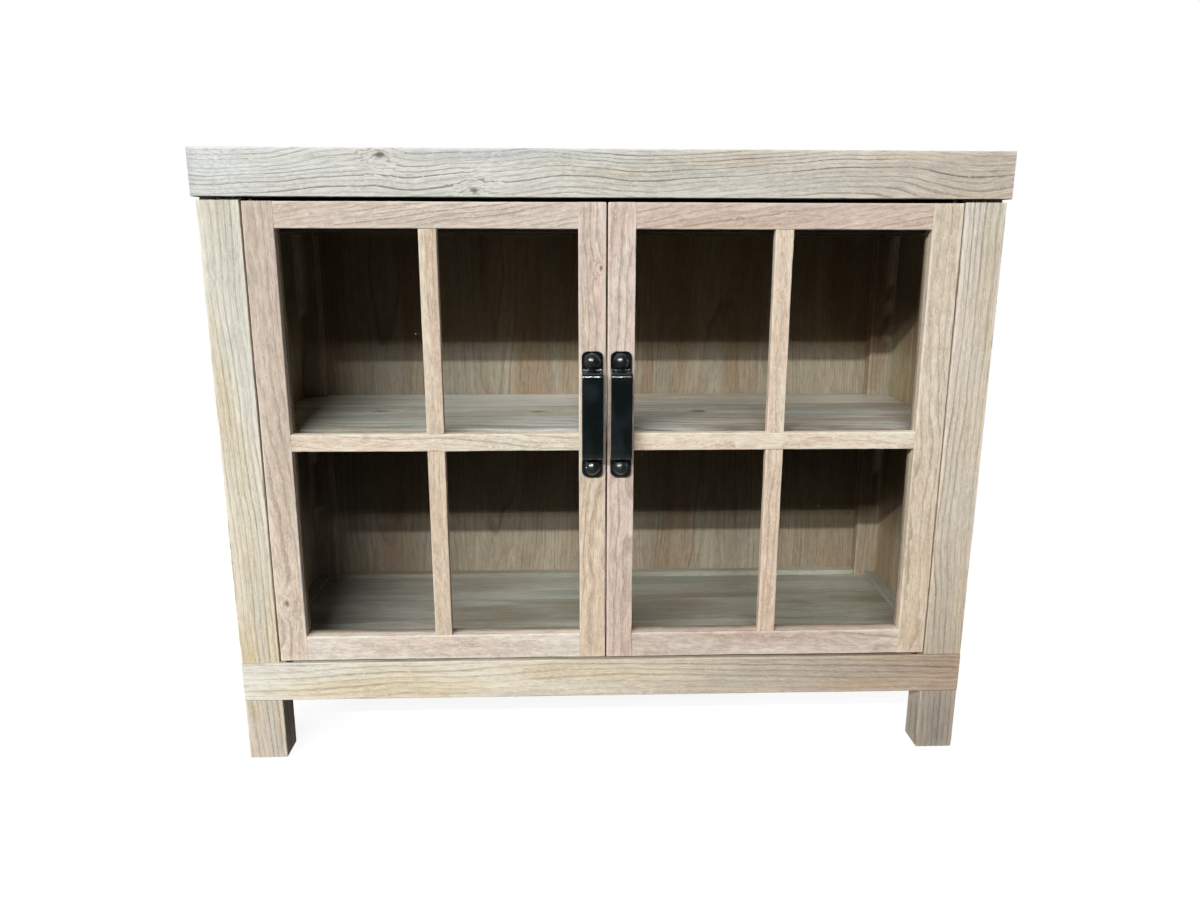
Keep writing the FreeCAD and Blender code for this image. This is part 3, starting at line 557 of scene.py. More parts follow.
def rebated(low, high, corner, size, cut):
    """A rectangle with a rebate at one corner: two more points mark where it starts and ends, and where it
    is cut the corner itself moves in to the rebate's inner edge."""
    plain = rectangle(low, high)
    at = plain[corner]
    inward = np.sign((np.array(low) + high) / 2 - at) * size
    first, second = np.array((inward[0], 0)), np.array((0, inward[1]))
    if corner in (0, 2):
        first, second = second, first
    three = np.array([at + first, at + inward if cut else at, at + second])
    return np.concatenate([plain[:corner], three, plain[corner + 1:]])


# lengths of the waves in which faces and edges wander
FACE_WAVE = 0.37
EDGE_WAVE = 0.29
# how far a board may lie from the heart of its log and along it, and how boards differ in lean, shade and hue
FROM_HEART = (0.05, 0.13)
ALONG_LOG = (2, 90)
LEANS = 0.03
SHADES = 0.025
HUES = 0.008
PLAIN_TINT = ((0.0, (1.0, 1.0, 1.0)),)
# painted shade: the lower faces, which lie in shade, keep only a quarter of their colour
PAINTED_SHADE_BELOW = ((Z, -1, 0.25),)
# painted shade behind the doors: darker, browner colour where the top and the shelf cast their shadows
PAINTED_SHADE_INSIDE = ((0.262, (1.0, 1.0, 1.0)), (0.285, (0.42, 0.38, 0.30)), (0.478, (0.30, 0.26, 0.19)), (0.5, (1.0, 1.0, 1.0)),
          (0.57, (1.0, 1.0, 1.0)), (0.6, (0.54, 0.47, 0.40)), (0.8, (0.42, 0.36, 0.29)))


def board(label, low, high, grain, heart=None, lean=None, tint=PLAIN_TINT, knots=(), keys=None, mitre=None,
          tight=(), true=(), dull=(), inside=(), wear=1.0, ease=1.0, end_ease=1.2 * MM, worn_ends=True):
    """A board: cross sections carried along its grain, rounded over at both ends. Each long edge has its own
    radius along the way, eased, worn and knocked, and each face runs in and out a little. keys gives other
    sections than the plain rectangle as (place, corners); two at one place make a step. A mitred board is
    shortened in proportion to the distance from its outer edge. tight lists stretches where another board
    butts and the edges stay square, true the axes across which the faces stay flat. heart is where the log's
    middle lies from the board's, lean how much that shifts per metre of length. tint gives colours at places
    along the grain, which may hold painted light and shade, dull the faces, by axis and direction, that keep
    only a share of it as painted shade, inside the axes and directions in which the tinted half lies if it is
    not the whole board, knots their middles and sizes."""
    s = settings().boards
    rng = np.random.default_rng(zlib.crc32(label.encode()))
    order = [grain, (grain + 1) % 3, (grain + 2) % 3]
    low, high = (np.array(c, float)[order] for c in (low, high))
    middle = (low + high) / 2
    span = high[0] - low[0]
    if keys is None:
        keys = [(low[0], rectangle(low[1:], high[1:])), (high[0], rectangle(low[1:], high[1:]))]
    along, corners, rim = stations(keys, end_ease, (high - low)[1:].min(), s.step)

    for axis in (0, 1):
        for limit, sign in ((low[axis + 1], 1), (high[axis + 1], -1)):
            shift = sign * s.wander * drift(rng, along, FACE_WAVE)
            if order[axis + 1] not in true:
                corners[..., axis] += np.isclose(corners[..., axis], limit, atol=1e-7) * shift[:, None]
    radii = np.stack([ease * (s.ease + s.worn * drift(rng, along, EDGE_WAVE) ** 2)
                      + ease * s.dent * knocks(rng, along, int(rng.integers(0, 2 + int(span * 5))))
                      for _ in range(corners.shape[1])], axis=1)
    for start, end, which in tight:
        radii[np.ix_((along > start) & (along < end), which)] = SQUARE
    leave = np.roll(corners, -1, axis=1) - corners
    come = np.roll(leave, 1, axis=1)
    turn = leave[..., 0] * come[..., 1] - leave[..., 1] * come[..., 0]
    radii[turn > -1e-12] = SQUARE
    room = np.linalg.norm(leave, axis=2)
    radii = np.minimum(radii, 0.45 * np.minimum(room, np.roll(room, 1, axis=1)))
    section, gaps = outline(corners, radii, s.step)

    rings, around = section.shape[:2]
    total = rings * around
    local = np.concatenate([np.broadcast_to(along[:, None, None], (rings, around, 1)), section], axis=2)
    if mitre is not None:
        axis, outer = mitre
        depth = np.abs(local[..., order.index(axis)] - outer)
        local[..., 0] = middle[0] + (local[..., 0] - middle[0]) * (1 - 2 * depth / span)
    rubbed = np.clip(1 - gaps / WEAR_REACH, 0, 1) ** 1.5 * rim[:, None]
    if worn_ends:
        from_end = np.minimum(along - low[0], high[0] - along)
        rubbed = np.maximum(rubbed, (np.clip(1 - from_end / WEAR_REACH, 0, 1) ** 1.5 * rim)[:, None])
    if heart is None:
        bearing = rng.uniform(0, 2 * np.pi)
        heart = rng.uniform(*FROM_HEART) * np.array((math.cos(bearing), math.sin(bearing)))
    to_log = np.array((rng.uniform(*ALONG_LOG), *heart)) - middle
    points = np.empty_like(local)
    points[..., order] = local
    mood = rng.normal(1, SHADES) * (1 + rng.normal(0, HUES, 3))
    stops, paints = np.array([stop for stop, _ in tint]), np.array([paint for _, paint in tint])
    shade = mood * np.stack([np.interp(along, stops, paints[:, part]) for part in range(3)], axis=1)
    lean = np.array((0.0, *(rng.normal(0, LEANS, 2) if lean is None else lean)))

    def in_log(spot):
        return spot + to_log + (spot[..., :1] - middle[0]) * lean

    knot, size = nearest_knot(along, [(in_log(np.array(spot)[order]), size) for spot, size in knots], to_log[0])

    def per_point(rows):
        return np.repeat(rows, around, axis=0)

    spots = points.reshape(total, 3)
    tinted = np.ones(total, bool)
    for axis, sign in inside:
        tinted &= sign * (spots[:, axis] - middle[order.index(axis)]) > 0
    shade = np.where(tinted[:, None], per_point(shade), mood)
    for axis, sign, kept in dull:
        depth = (sign * spots[:, axis]).max() - sign * spots[:, axis]
        shade = shade * np.where(depth < 2 * s.wander, kept, 1.0)[:, None]
    return Surface(spots, tube_faces(rings, around), grain=in_log(local).reshape(total, 3),
                   wear=(wear * rubbed).reshape(total), tint=shade, knot=per_point(knot),
                   knot_size=per_point(size))


def stations(keys, end_ease, thin, step):
    """Places along a board, the section's corners at each, and 0 at the middle of an end, else 1. Both ends
    are rounded over: the section draws in by e (1 - sin t) at e (1 - cos t) from the end."""
    lip = min(end_ease, 0.2 * thin)
    inset = min(lip + 4 * MM, 0.42 * thin)

    def drawn_in(section, by):
        return np.clip(section, section.min(0) + by, section.max(0) - by)

    ends = []
    for (place, section), sign in ((keys[0], 1), (keys[-1], -1)):
        end = [(place, drawn_in(section, inset), 0.0)]
        for bend in np.linspace(0, np.pi / 2, ARC_STEPS + 1):
            at = place + sign * lip * (1 - math.cos(bend))
            end.append((at, drawn_in(section, lip * (1 - math.sin(bend))), 1.0))
        ends.append(end)
    stops = ends[0] + [(place, section, 1.0) for place, section in keys[1:-1]] + ends[1][::-1]
    places, sections, rims = (np.array(column) for column in zip(*stops))
    counts = np.maximum(1, np.ceil(np.abs(np.diff(places)) / step)).astype(int)
    ticks = np.concatenate([i + np.arange(n) / n for i, n in enumerate(counts)] + [[len(places) - 1.0]])
    base = np.minimum(ticks.astype(int), len(places) - 2)
    part = ticks - base

    def between(rows):
        return rows[base] + (rows[base + 1] - rows[base]) * part.reshape(-1, *[1] * (rows.ndim - 1))

    return between(places), between(sections), between(rims)


def nearest_knot(along, knots, start):
    """The knot nearest to each station and its size, which is 0 where one knot hands over to the next."""
    if not knots:
        return np.zeros((len(along), 3)), np.zeros(len(along))
    spots, sizes = np.array([spot for spot, _ in knots]), np.array([size for _, size in knots])
    which = np.abs(along[:, None] + start - spots[:, 0]).argmin(1)
    handed = (which != np.roll(which, 1)) | (which != np.roll(which, -1))
    handed[[0, -1]] = False
    return spots[which], np.where(handed, 0.0, sizes[which])


def planks(label, low, high, grain, across, widths, shape=None, knots=(), **traits):
    """Boards that butt side by side and share a width in the given proportions. shape gives each board's
    sections from its corners if they are not plain."""
    cuts = low[across] + (high[across] - low[across]) * np.concatenate([[0], np.cumsum(widths)]) / sum(widths)
    made = []
    for place, (start, end) in enumerate(zip(cuts[:-1], cuts[1:])):
        first, second = list(low), list(high)
        first[across], second[across] = start, end
        keys = shape(first, second) if shape else None
        here = [knot for knot in knots if start < knot[0][across] < end]
        made.append(board(f"{label}_{place}", first, second, grain, true=(across,), keys=keys, knots=here, **traits))
    return made


KIND_OF_VALUE = {1: ("FLOAT", "value"), 2: ("FLOAT_VECTOR", "vector")}


def piece(name, surfaces, material, body, nodes):
    """One finished piece: its shells merged and turned outwards, riding on a body in place of its nodes."""
    whole = stack(surfaces)
    mesh = bpy.data.meshes.new(name)
    mesh.from_pydata(whole.points.tolist(), [], whole.faces)
    for key, values in whole.values.items():
        kind, field = KIND_OF_VALUE[values.ndim]
        layer = mesh.attributes.new(key, kind, "POINT")
        layer.data.foreach_set(field, np.ascontiguousarray(values, np.float32).ravel())
    shell = bmesh.new()
    shell.from_mesh(mesh)
    bmesh.ops.remove_doubles(shell, verts=shell.verts, dist=MERGE)
    bmesh.ops.dissolve_degenerate(shell, edges=shell.edges, dist=MERGE)
    bmesh.ops.recalc_face_normals(shell, faces=shell.faces)
    shell.to_mesh(mesh)
    shell.free()
    mesh.shade_smooth()
    mesh.set_sharp_from_angle(angle=SHARP)
    made = bpy.data.objects.new(name, mesh)
    bpy.context.scene.collection.objects.link(made)
    made.data.materials.append(material)
    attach(made, body)
    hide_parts(*nodes)
    return made


def keep(node, material):
    """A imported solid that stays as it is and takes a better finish."""
    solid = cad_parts[node]
    if not solid.material_slots:
        raise RuntimeError(f"{node} has no material slot")
    for holder in solid.material_slots:
        holder.link = "OBJECT"
        holder.material = material


def spans(node, trim=None, by=0.0):
    """A node's corners, shortened along one axis by the length of its tenons."""
    low, high = (np.array(corner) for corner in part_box(node))
    if trim is not None:
        low[trim] += by
        high[trim] -= by
    return low, high


# Operators

class Making:
    """What all the operators share."""

    bl_options = {"REGISTER"}

    def execute(self, context):
        self.make()
        return {"FINISHED"}


class SIDEBOARD_OT_top(Making, bpy.types.Operator):
    """Framed top: four mitred members round three flush planks, with a hidden batten"""

    bl_idname = "sideboard.top"
    bl_label = "Framed top"

    hearts = {"front": (0.03, -0.105), "rear": (0.02, 0.09), "left": (-0.09, 0.02), "right": (0.09, 0.03)}
    # colours along the top, its end members taking the end colours: bluer at the left, darker and warmer to the right,
    # partly the wood's own hue and partly painted shade where the light falls off to the right
    tint = ((-0.54, (1.00, 1.04, 1.10)), (0.1, (1.0, 0.98, 0.96)), (0.54, (0.98, 0.86, 0.77)))
    knots = (((-0.296, -0.184, 0.8735), 6 * MM), ((-0.175, -0.184, 0.830), 6 * MM))

    def make(self):
        for side, heart in self.hearts.items():
            node = f"top_frame_{side}"
            low, high = spans(node)
            grain = X if side in ("front", "rear") else Y
            axis = Y if grain == X else X
            outer = (low if side in ("front", "left") else high)[axis]
            tint = self.tint if grain == X else ((0.0, self.tint[0 if side == "left" else -1][1]),)
            # the frame's lower faces carry painted shade
            made = board(node, low, high, grain, heart=heart, tint=tint, mitre=(axis, outer), dull=PAINTED_SHADE_BELOW,
                         knots=self.knots if side == "front" else (), end_ease=0.2 * MM, worn_ends=False)
            piece(f"{node}_board", [made], wood("top"), "carcass", [node])
        low, high = spans("top_panel")
        low[X], high[X] = spans("top_frame_left")[1][X], spans("top_frame_right")[0][X]
        low[Y], high[Y] = spans("top_frame_front")[1][Y], spans("top_frame_rear")[0][Y]
        # the planks' lower faces carry painted shade too
        made = planks("top_panel", low, high, X, Y, (80, 92, 76), tint=self.tint, dull=PAINTED_SHADE_BELOW,
                      worn_ends=False)
        piece("top_panel_planks", made, wood("top"), "carcass", ["top_panel"])
        keep("top_batten", wood("inner", Y))


class SIDEBOARD_OT_posts(Making, bpy.types.Operator):
    """Four posts and the apron lapped onto the front pair"""

    bl_idname = "sideboard.posts"
    bl_label = "Posts and apron"

    hearts = {"front_left": (0.11, 0.03), "front_right": (-0.10, 0.05), "rear_left": (0.07, -0.05),
              "rear_right": (-0.06, -0.07)}
    # colours up the front posts: the right post darkens towards its foot, painted shade; the left changes only a little
    # in shade and hue
    tints = {"left": ((0.05, (0.97, 0.93, 1.00)), (0.16, (1.06, 0.995, 0.945)), (0.45, (1.05, 1.06, 1.11)),
                      (0.8, (0.975, 0.985, 1.025))),
             "right": ((0.05, (0.575, 0.525, 0.535)), (0.16, (0.845, 0.75, 0.70)), (0.45, (1.095, 1.015, 0.995)),
                       (0.8, (0.975, 0.975, 1.06)))}
    # colours along the apron: painted light at its left end and painted shade towards its right
    apron_painted_light_and_shade = ((-0.54, (1.18, 1.19, 1.25)), (0.0, (1.04, 0.99, 0.96)), (0.54, (0.685, 0.565, 0.525)))
    apron_knots = (((0.058, -0.184, 0.100), 2.6 * MM), ((0.112, -0.184, 0.102), 2.2 * MM))
    neck_in = (0.4 * MM, 12 * MM)

    def make(self):
        apron_low, apron_high = spans("front_apron")
        under_top = spans("top_frame_front")[0][Z]
        for place, heart in self.hearts.items():
            node = f"post_{place}"
            low, high = spans(node)
            full = rectangle(low[:2], high[:2])
            neck = rectangle(low[:2] + self.neck_in, high[:2] - self.neck_in)
            lap = []
            if place.startswith("front"):
                lapped = rectangle((low[X], apron_high[Y]), high[:2])
                lap = [(apron_low[Z], full), (apron_low[Z], lapped), (apron_high[Z], lapped),
                       (apron_high[Z], full)]
            keys = [(low[Z], full), *lap, (high[Z], full), (high[Z], neck), (under_top, neck)]
            high[Z] = under_top
            facing, side = place.split("_")
            kind, traits = "post", {"tint": self.tints[side]}
            if facing == "rear":
                # the rear posts carry that painted shade on their inner faces
                kind, traits = "inner", {"tint": PAINTED_SHADE_INSIDE, "inside": ((Y, -1), (X, INWARDS[side]))}
            made = board(node, low, high, Z, heart=heart, keys=keys, end_ease=1.5 * MM, **traits)
            piece(f"{node}_board", [made], wood(kind), "carcass", [node])
        # the apron's top face keeps two thirds of its colour: painted shade in the gap under the doors
        made = board("front_apron", apron_low, apron_high, X, heart=(0.04, 0.10), tint=self.apron_painted_light_and_shade,
                     knots=self.apron_knots, dull=((Z, 1, 0.68),), wear=0.6)
        piece("front_apron_board", [made], wood("apron"), "carcass", ["front_apron"])


class SIDEBOARD_OT_rails(Making, bpy.types.Operator):
    """Rails between the posts, which stay as packed"""

    bl_idname = "sideboard.rails"
    bl_label = "Rails"

    def make(self):
        # the upper rails take the inner wood's painted shade, the lower ones the bottom's grey
        for level, kind in (("upper", "inner"), ("lower", "deck")):
            for side, grain in (("front", X), ("rear", X), ("left", Y), ("right", Y)):
                keep(f"{level}_rail_{side}", wood(kind, grain))


class SIDEBOARD_OT_panels(Making, bpy.types.Operator):
    """Upright planks of the sides and the back"""

    bl_idname = "sideboard.panels"
    bl_label = "Sides and back"

    back_shades = (0.88, 1.02, 0.95, 0.99, 0.88)
    # colours up the side panels' inner faces: painted light in the lit bands and painted shade under the top and the
    # shelf
    side_painted_light_and_shade = ((0.25, (1.1, 1.08, 1.0)), (0.31, (0.52, 0.48, 0.40)), (0.345, (0.33, 0.28, 0.2)),
                 (0.48, (0.33, 0.28, 0.2)), (0.5, (1.2, 1.18, 1.03)), (0.565, (1.2, 1.18, 1.03)),
                 (0.61, (0.75, 0.68, 0.58)), (0.67, (0.38, 0.33, 0.26)), (0.8, (0.42, 0.36, 0.29)))

    def make(self):
        for side in SIDES:
            node = f"side_panel_{side}"
            low, high = spans(node)
            made = planks(node, low, high, Z, Y, (88, 104, 94), tint=self.side_painted_light_and_shade, inside=((X, INWARDS[side]),),
                          ease=0.6, wear=0.5, worn_ends=False)
            piece(f"{node}_planks", made, wood("inner"), "carcass", [node])
        nodes = [f"back_board_{number}" for number in range(1, 6)]
        low, high = spans(nodes[0])[0], spans(nodes[-1])[1]
        # the back planks carry that painted shade on their front faces
        made = planks("back_board", low, high, Z, X, [1] * len(nodes), tint=PAINTED_SHADE_INSIDE, inside=((Y, -1),), ease=0.5,
                      wear=0.4, worn_ends=False)
        for node, plank, share_kept in zip(nodes, made, self.back_shades):
            plank.values["tint"] *= share_kept
            piece(f"{node}_plank", [plank], wood("inner"), "carcass", [node])


class SIDEBOARD_OT_shelves(Making, bpy.types.Operator):
    """Shelf, bottom and the cleats under the shelf"""

    bl_idname = "sideboard.shelves"
    bl_label = "Shelf and bottom"

    room = 0.5 * MM
    widths = {"shelf": (96, 112, 102), "bottom_panel": (104, 92, 105)}
    # colours along the shelf and the bottom: the shelf brightened over most of its length, painted light, and darker
    # towards its right end, painted shade; the bottom greyer and darker than the shelf and darker towards both ends,
    # painted shade
    tints = {"shelf": ((-0.49, (1.30, 1.30, 1.28)), (-0.42, (1.05, 1.05, 1.04)), (-0.3, (1.10, 1.10, 1.10)),
                       (-0.12, (1.38, 1.39, 1.43)), (0.05, (1.20, 1.20, 1.22)), (0.2, (0.83, 0.81, 0.80))),
             "bottom_panel": ((-0.46, (0.64, 0.66, 0.67)), (-0.38, (0.63, 0.64, 0.64)), (-0.3, (0.70, 0.70, 0.69)),
                              (-0.1, (0.74, 0.75, 0.73)), (0.1, (0.69, 0.69, 0.66)), (0.3, (0.54, 0.54, 0.49)))}
    knots = {"shelf": (((-0.355, 0.016, 0.499), 10 * MM), ((-0.1025, 0.007, 0.499), 9 * MM),
                       ((0.156, 0.005, 0.499), 13 * MM)), "bottom_panel": ()}
    kinds = {"shelf": "shelf", "bottom_panel": "deck"}
    # painted shade on the lower faces and on the shelf's front face, which keeps half its colour
    dull = (*PAINTED_SHADE_BELOW, (Y, -1, 0.5))

    def make(self):
        reach = spans("post_rear_right")[0][X] - self.room
        front = spans("post_front_right")[1][Y] + self.room
        rear = spans("post_rear_right")[0][Y] - self.room

        def notched(first, second):
            """The whole plank between the left and right posts, and at both ends what passes between front and rear."""
            full = rectangle(first[1:], second[1:])
            ends = rectangle((max(first[Y], front), first[Z]), (min(second[Y], rear), second[Z]))
            return [(first[X], ends), (-reach, ends), (-reach, full), (reach, full), (reach, ends), (second[X], ends)]

        for node, widths in self.widths.items():
            made = planks(node, *spans(node), X, Y, widths, notched, self.knots[node], tint=self.tints[node],
                          dull=self.dull, wear=0.15, ease=0.7, worn_ends=False)
            piece(f"{node}_planks", made, wood(self.kinds[node]), "carcass", [node])
        for side in SIDES:
            node = f"shelf_cleat_{side}"
            low, high = spans(node)
            piece(f"{node}_board", [board(node, low, high, Y, worn_ends=False)], wood("inner"), "carcass",
                  [node])


class SIDEBOARD_OT_door_frames(Making, bpy.types.Operator):
    """Stiles, rails and glazing bars of both doors"""

    bl_idname = "sideboard.door_frames"
    bl_label = "Door frames"

    tenon = 20 * MM
    stub = 8 * MM
    room = 1 * MM
    tints = {"left_door_hinge_stile": ((0.3, (1.09, 1.09, 1.10)), (0.7, (0.87, 0.83, 0.84))),
             "right_door_hinge_stile": ((0.3, (1.00, 0.99, 0.90)), (0.7, (1.03, 1.05, 1.01))),
             "left_door_meeting_stile": ((0.3, (1.03, 0.97, 0.90)), (0.7, (0.985, 0.95, 0.99))),
             "right_door_meeting_stile": ((0.3, (0.97, 0.92, 0.93)), (0.7, (0.97, 0.97, 1.00))),
             "left_door_top_rail": ((0.0, (0.94, 0.97, 1.00)),),
             "right_door_top_rail": ((0.0, (0.92, 0.89, 0.90)),),
             "left_door_bottom_rail": ((0.0, (1.145, 1.19, 1.23)),),
             "right_door_bottom_rail": ((0.0, (0.96, 0.96, 0.98)),),
             "left_door_cross_bar": ((0.0, (1.165, 1.24, 1.22)),),
             "right_door_cross_bar": ((0.0, (1.305, 1.295, 1.255)),),
             "left_door_upper_bar": ((0.0, (0.965, 0.955, 0.895)),),
             "left_door_lower_bar": ((0.0, (1.015, 0.975, 0.895)),),
             "right_door_upper_bar": ((0.0, (1.14, 1.18, 1.14)),),
             "right_door_lower_bar": ((0.0, (1.21, 1.21, 1.15)),)}
    knots = {"left_door_meeting_stile": (((-0.0084, -0.18, 0.7305), 3 * MM),),
             "left_door_hinge_stile": (((-0.4655, -0.18, 0.25), 5 * MM),)}
    logs = {"top_rail": ((0.02, 0.10), (0.0, -0.16)), "bottom_rail": ((0.09, 0.03), (0.0, 0.05)),
            "hinge_stile": ((0.030, 0.050), (0.03, 0.0)), "meeting_stile": ((-0.02, 0.06), (-0.02, 0.0))}

    def make(self):
        for side in SIDES:
            self.make_door(side)

    def make_door(self, side):
        body = f"{side}_door"

        def fit(part, low, high, grain, **traits):
            node = f"{body}_{part}"
            made = board(node, low, high, grain, tint=self.tints[node], **traits)
            piece(f"{node}_board", [made], wood("door"), body, [node])

        glass_low, glass_high = spans(f"{body}_glass")
        rebate_z = glass_low[Z] - self.room, glass_high[Z] + self.room
        rebate_y = glass_low[Y]
        rails = {part: spans(f"{body}_{part}", X, self.tenon) for part in ("top_rail", "bottom_rail")}
        bars = {"cross_bar": (X, spans(f"{body}_cross_bar", X, self.stub)),
                "upper_bar": (Z, spans(f"{body}_upper_bar", Z, self.stub)),
                "lower_bar": (Z, spans(f"{body}_lower_bar", Z, self.stub))}
        light_x = rails["top_rail"][0][X], rails["top_rail"][1][X]
        cover = light_x[0] - (glass_low[X] - self.room)

        cross = bars["cross_bar"][1]
        for part in ("hinge_stile", "meeting_stile"):
            low, high = spans(f"{body}_{part}")
            inner_low = low[X] > light_x[0]
            corner = 3 if inner_low else 2
            size = np.array((cover, high[Y] - rebate_y))
            plain, cut = (rebated(low[:2], high[:2], corner, size, state) for state in (False, True))
            keys = [(low[Z], plain), (rebate_z[0], plain), (rebate_z[0], cut), (rebate_z[1], cut),
                    (rebate_z[1], plain), (high[Z], plain)]
            face = [0] if inner_low else [1]
            tight = [(low[Z], rails["bottom_rail"][1][Z], face), (rails["top_rail"][0][Z], high[Z], face),
                     (cross[0][Z], cross[1][Z], face)]
            heart, lean = self.logs[part]
            fit(part, low, high, Z, keys=keys, tight=tight, heart=heart, lean=lean,
                knots=self.knots.get(f"{body}_{part}", ()))
        for part, (low, high) in rails.items():
            corner = 1 if part == "top_rail" else 2
            size = np.array((high[Y] - rebate_y, cover))
            section = rebated(low[1:], high[1:], corner, size, True)
            keys = [(low[X], section), (high[X], section)]
            heart, lean = self.logs[part]
            fit(part, low, high, X, keys=keys, heart=heart, lean=lean, end_ease=0.15 * MM, worn_ends=False)
        for part, (grain, (low, high)) in bars.items():
            fit(part, low, high, grain, wear=0.6, end_ease=0.15 * MM, worn_ends=False)


class SIDEBOARD_OT_glazing(Making, bpy.types.Operator):
    """Panes, which stay as packed, and the beads that hold them"""

    bl_idname = "sideboard.glazing"
    bl_label = "Glass and beads"

    # the beads are darkened all over: painted shade in the recess round the glass
    tint = ((0.0, (0.5, 0.46, 0.42)),)
    wide = 8 * MM

    def make(self):
        wide = self.wide
        for side in SIDES:
            body = f"{side}_door"
            keep(f"{body}_glass", finish("pane_glass", wire_glass))
            node = f"{body}_glazing_beads"
            low, high = spans(node)
            made = []
            for label, start, end, grain in (
                    ("bottom", low, (high[X], high[Y], low[Z] + wide), X),
                    ("top", (low[X], low[Y], high[Z] - wide), high, X),
                    ("left", (low[X], low[Y], low[Z] + wide), (low[X] + wide, high[Y], high[Z] - wide), Z),
                    ("right", (high[X] - wide, low[Y], low[Z] + wide), (high[X], high[Y], high[Z] - wide), Z)):
                made.append(board(f"{node}_{label}", start, end, grain, tint=self.tint, end_ease=0.2 * MM,
                                  worn_ends=False))
            piece(f"{node}_strips", made, wood("door"), body, [node])


class SIDEBOARD_OT_handles(Making, bpy.types.Operator):
    """Bent iron straps and their domed bolts"""

    bl_idname = "sideboard.handles"
    bl_label = "Handles"

    def make(self):
        for side in SIDES:
            body = f"{side}_door"
            handle, bolts = f"{body}_handle", f"{body}_handle_bolts"
            piece(f"{handle}_strap", [strap(handle)], iron("strap"), body, [handle])
            piece(f"{handle}_domes", domes(bolts, handle), iron("dome"), body, [bolts])


STRAP_THICK = 5 * MM
FLANGE = 29.5 * MM
LEAN = 1 * MM
BEND = 5 * MM
END_ROUND = 8 * MM
STRAP_EDGE = 1.1 * MM
BEND_STEPS = 9
DOME_WIDE = 24 * MM
DOME_HIGH = 9.5 * MM
DOME_RINGS = 16
DOME_POINTS = 48
DOME_FACETS = 0.18 * MM
DOME_SUNK = 0.5 * MM
BOLT_FROM_END = 14 * MM


def rounded_path(stops, radius, step):
    """A line in a plane whose corners are arcs that touch both runs, with its unit tangents."""
    stops = np.array(stops, float)
    runs = np.diff(stops, axis=0)
    ways = runs / np.linalg.norm(runs, axis=1)[:, None]
    points = [stops[:1]]
    tangents = [ways[:1]]

    def straight(start, end, way):
        count = max(2, int(np.linalg.norm(end - start) / step))
        shares = np.linspace(0, 1, count + 1)[1:, None]
        points.append(start + (end - start) * shares)
        tangents.append(np.repeat(way[None], count, axis=0))

    at = stops[0]
    for before, after, corner in zip(ways[:-1], ways[1:], stops[1:-1]):
        angle = math.acos(float(np.clip(before @ after, -1, 1)))
        reach = radius * math.tan(angle / 2)
        straight(at, corner - before * reach, before)
        side = after - before * (before @ after)
        side = side / np.linalg.norm(side)
        turn = np.linspace(0, angle, BEND_STEPS)[1:, None]
        centre = corner - before * reach + side * radius
        points.append(centre + radius * (np.sin(turn) * before - np.cos(turn) * side))
        tangents.append(np.cos(turn) * before + np.sin(turn) * side)
        at = corner + after * reach
    straight(at, stops[-1], ways[-1])
    return np.concatenate(points), np.concatenate(tangents)


def strap(node):
    """A flat strap: a rounded oblong carried along its bent line, narrowed at both ends by a quarter circle
    so that the flat ends have round corners."""
    low, high = spans(node)
    back, front = high[Y] - STRAP_THICK / 2, low[Y] + STRAP_THICK / 2
    top, foot = high[Z], low[Z]
    line, way = rounded_path([(back, top), (back, top - FLANGE), (front, top - FLANGE - LEAN),
                              (front, foot + FLANGE + LEAN), (back, foot + FLANGE), (back, foot)], BEND, 2 * MM)
    crowd = END_ROUND * (1 - np.cos(np.linspace(0, np.pi / 2, BEND_STEPS)))
    lead = np.stack([np.full(BEND_STEPS, back), top - crowd], axis=1)
    tail = np.stack([np.full(BEND_STEPS, back), foot + crowd[::-1]], axis=1)
    body = (line[:, 1] < top - END_ROUND) & (line[:, 1] > foot + END_ROUND)
    down = np.repeat(np.array([[0.0, -1.0]]), BEND_STEPS, axis=0)
    line, way = np.concatenate([lead, line[body], tail]), np.concatenate([down, way[body], down])
    from_end = np.minimum(top - line[:, 1], line[:, 1] - foot)
    missing = np.clip(END_ROUND - from_end, 0, END_ROUND)
    wide = (high[X] - low[X]) / 2 - END_ROUND + np.sqrt(np.maximum(END_ROUND ** 2 - missing ** 2, 0))
    half = np.stack([wide, np.full_like(wide, STRAP_THICK / 2)], axis=1)
    corners = np.stack([half * sign for sign in ((-1, -1), (1, -1), (1, 1), (-1, 1))], axis=1)
    radii = np.full(corners.shape[:2], STRAP_EDGE)
    section, _ = outline(corners, radii, 6 * MM)
    across = (low[X] + high[X]) / 2
    normal = np.stack([-way[:, 1], way[:, 0]], axis=1)
    flat = line[:, None] + section[..., 1:] * normal[:, None]
    points = np.concatenate([across + section[..., :1], flat], axis=2)
    rings, around = points.shape[:2]
    return Surface(points.reshape(-1, 3), tube_faces(rings, around))


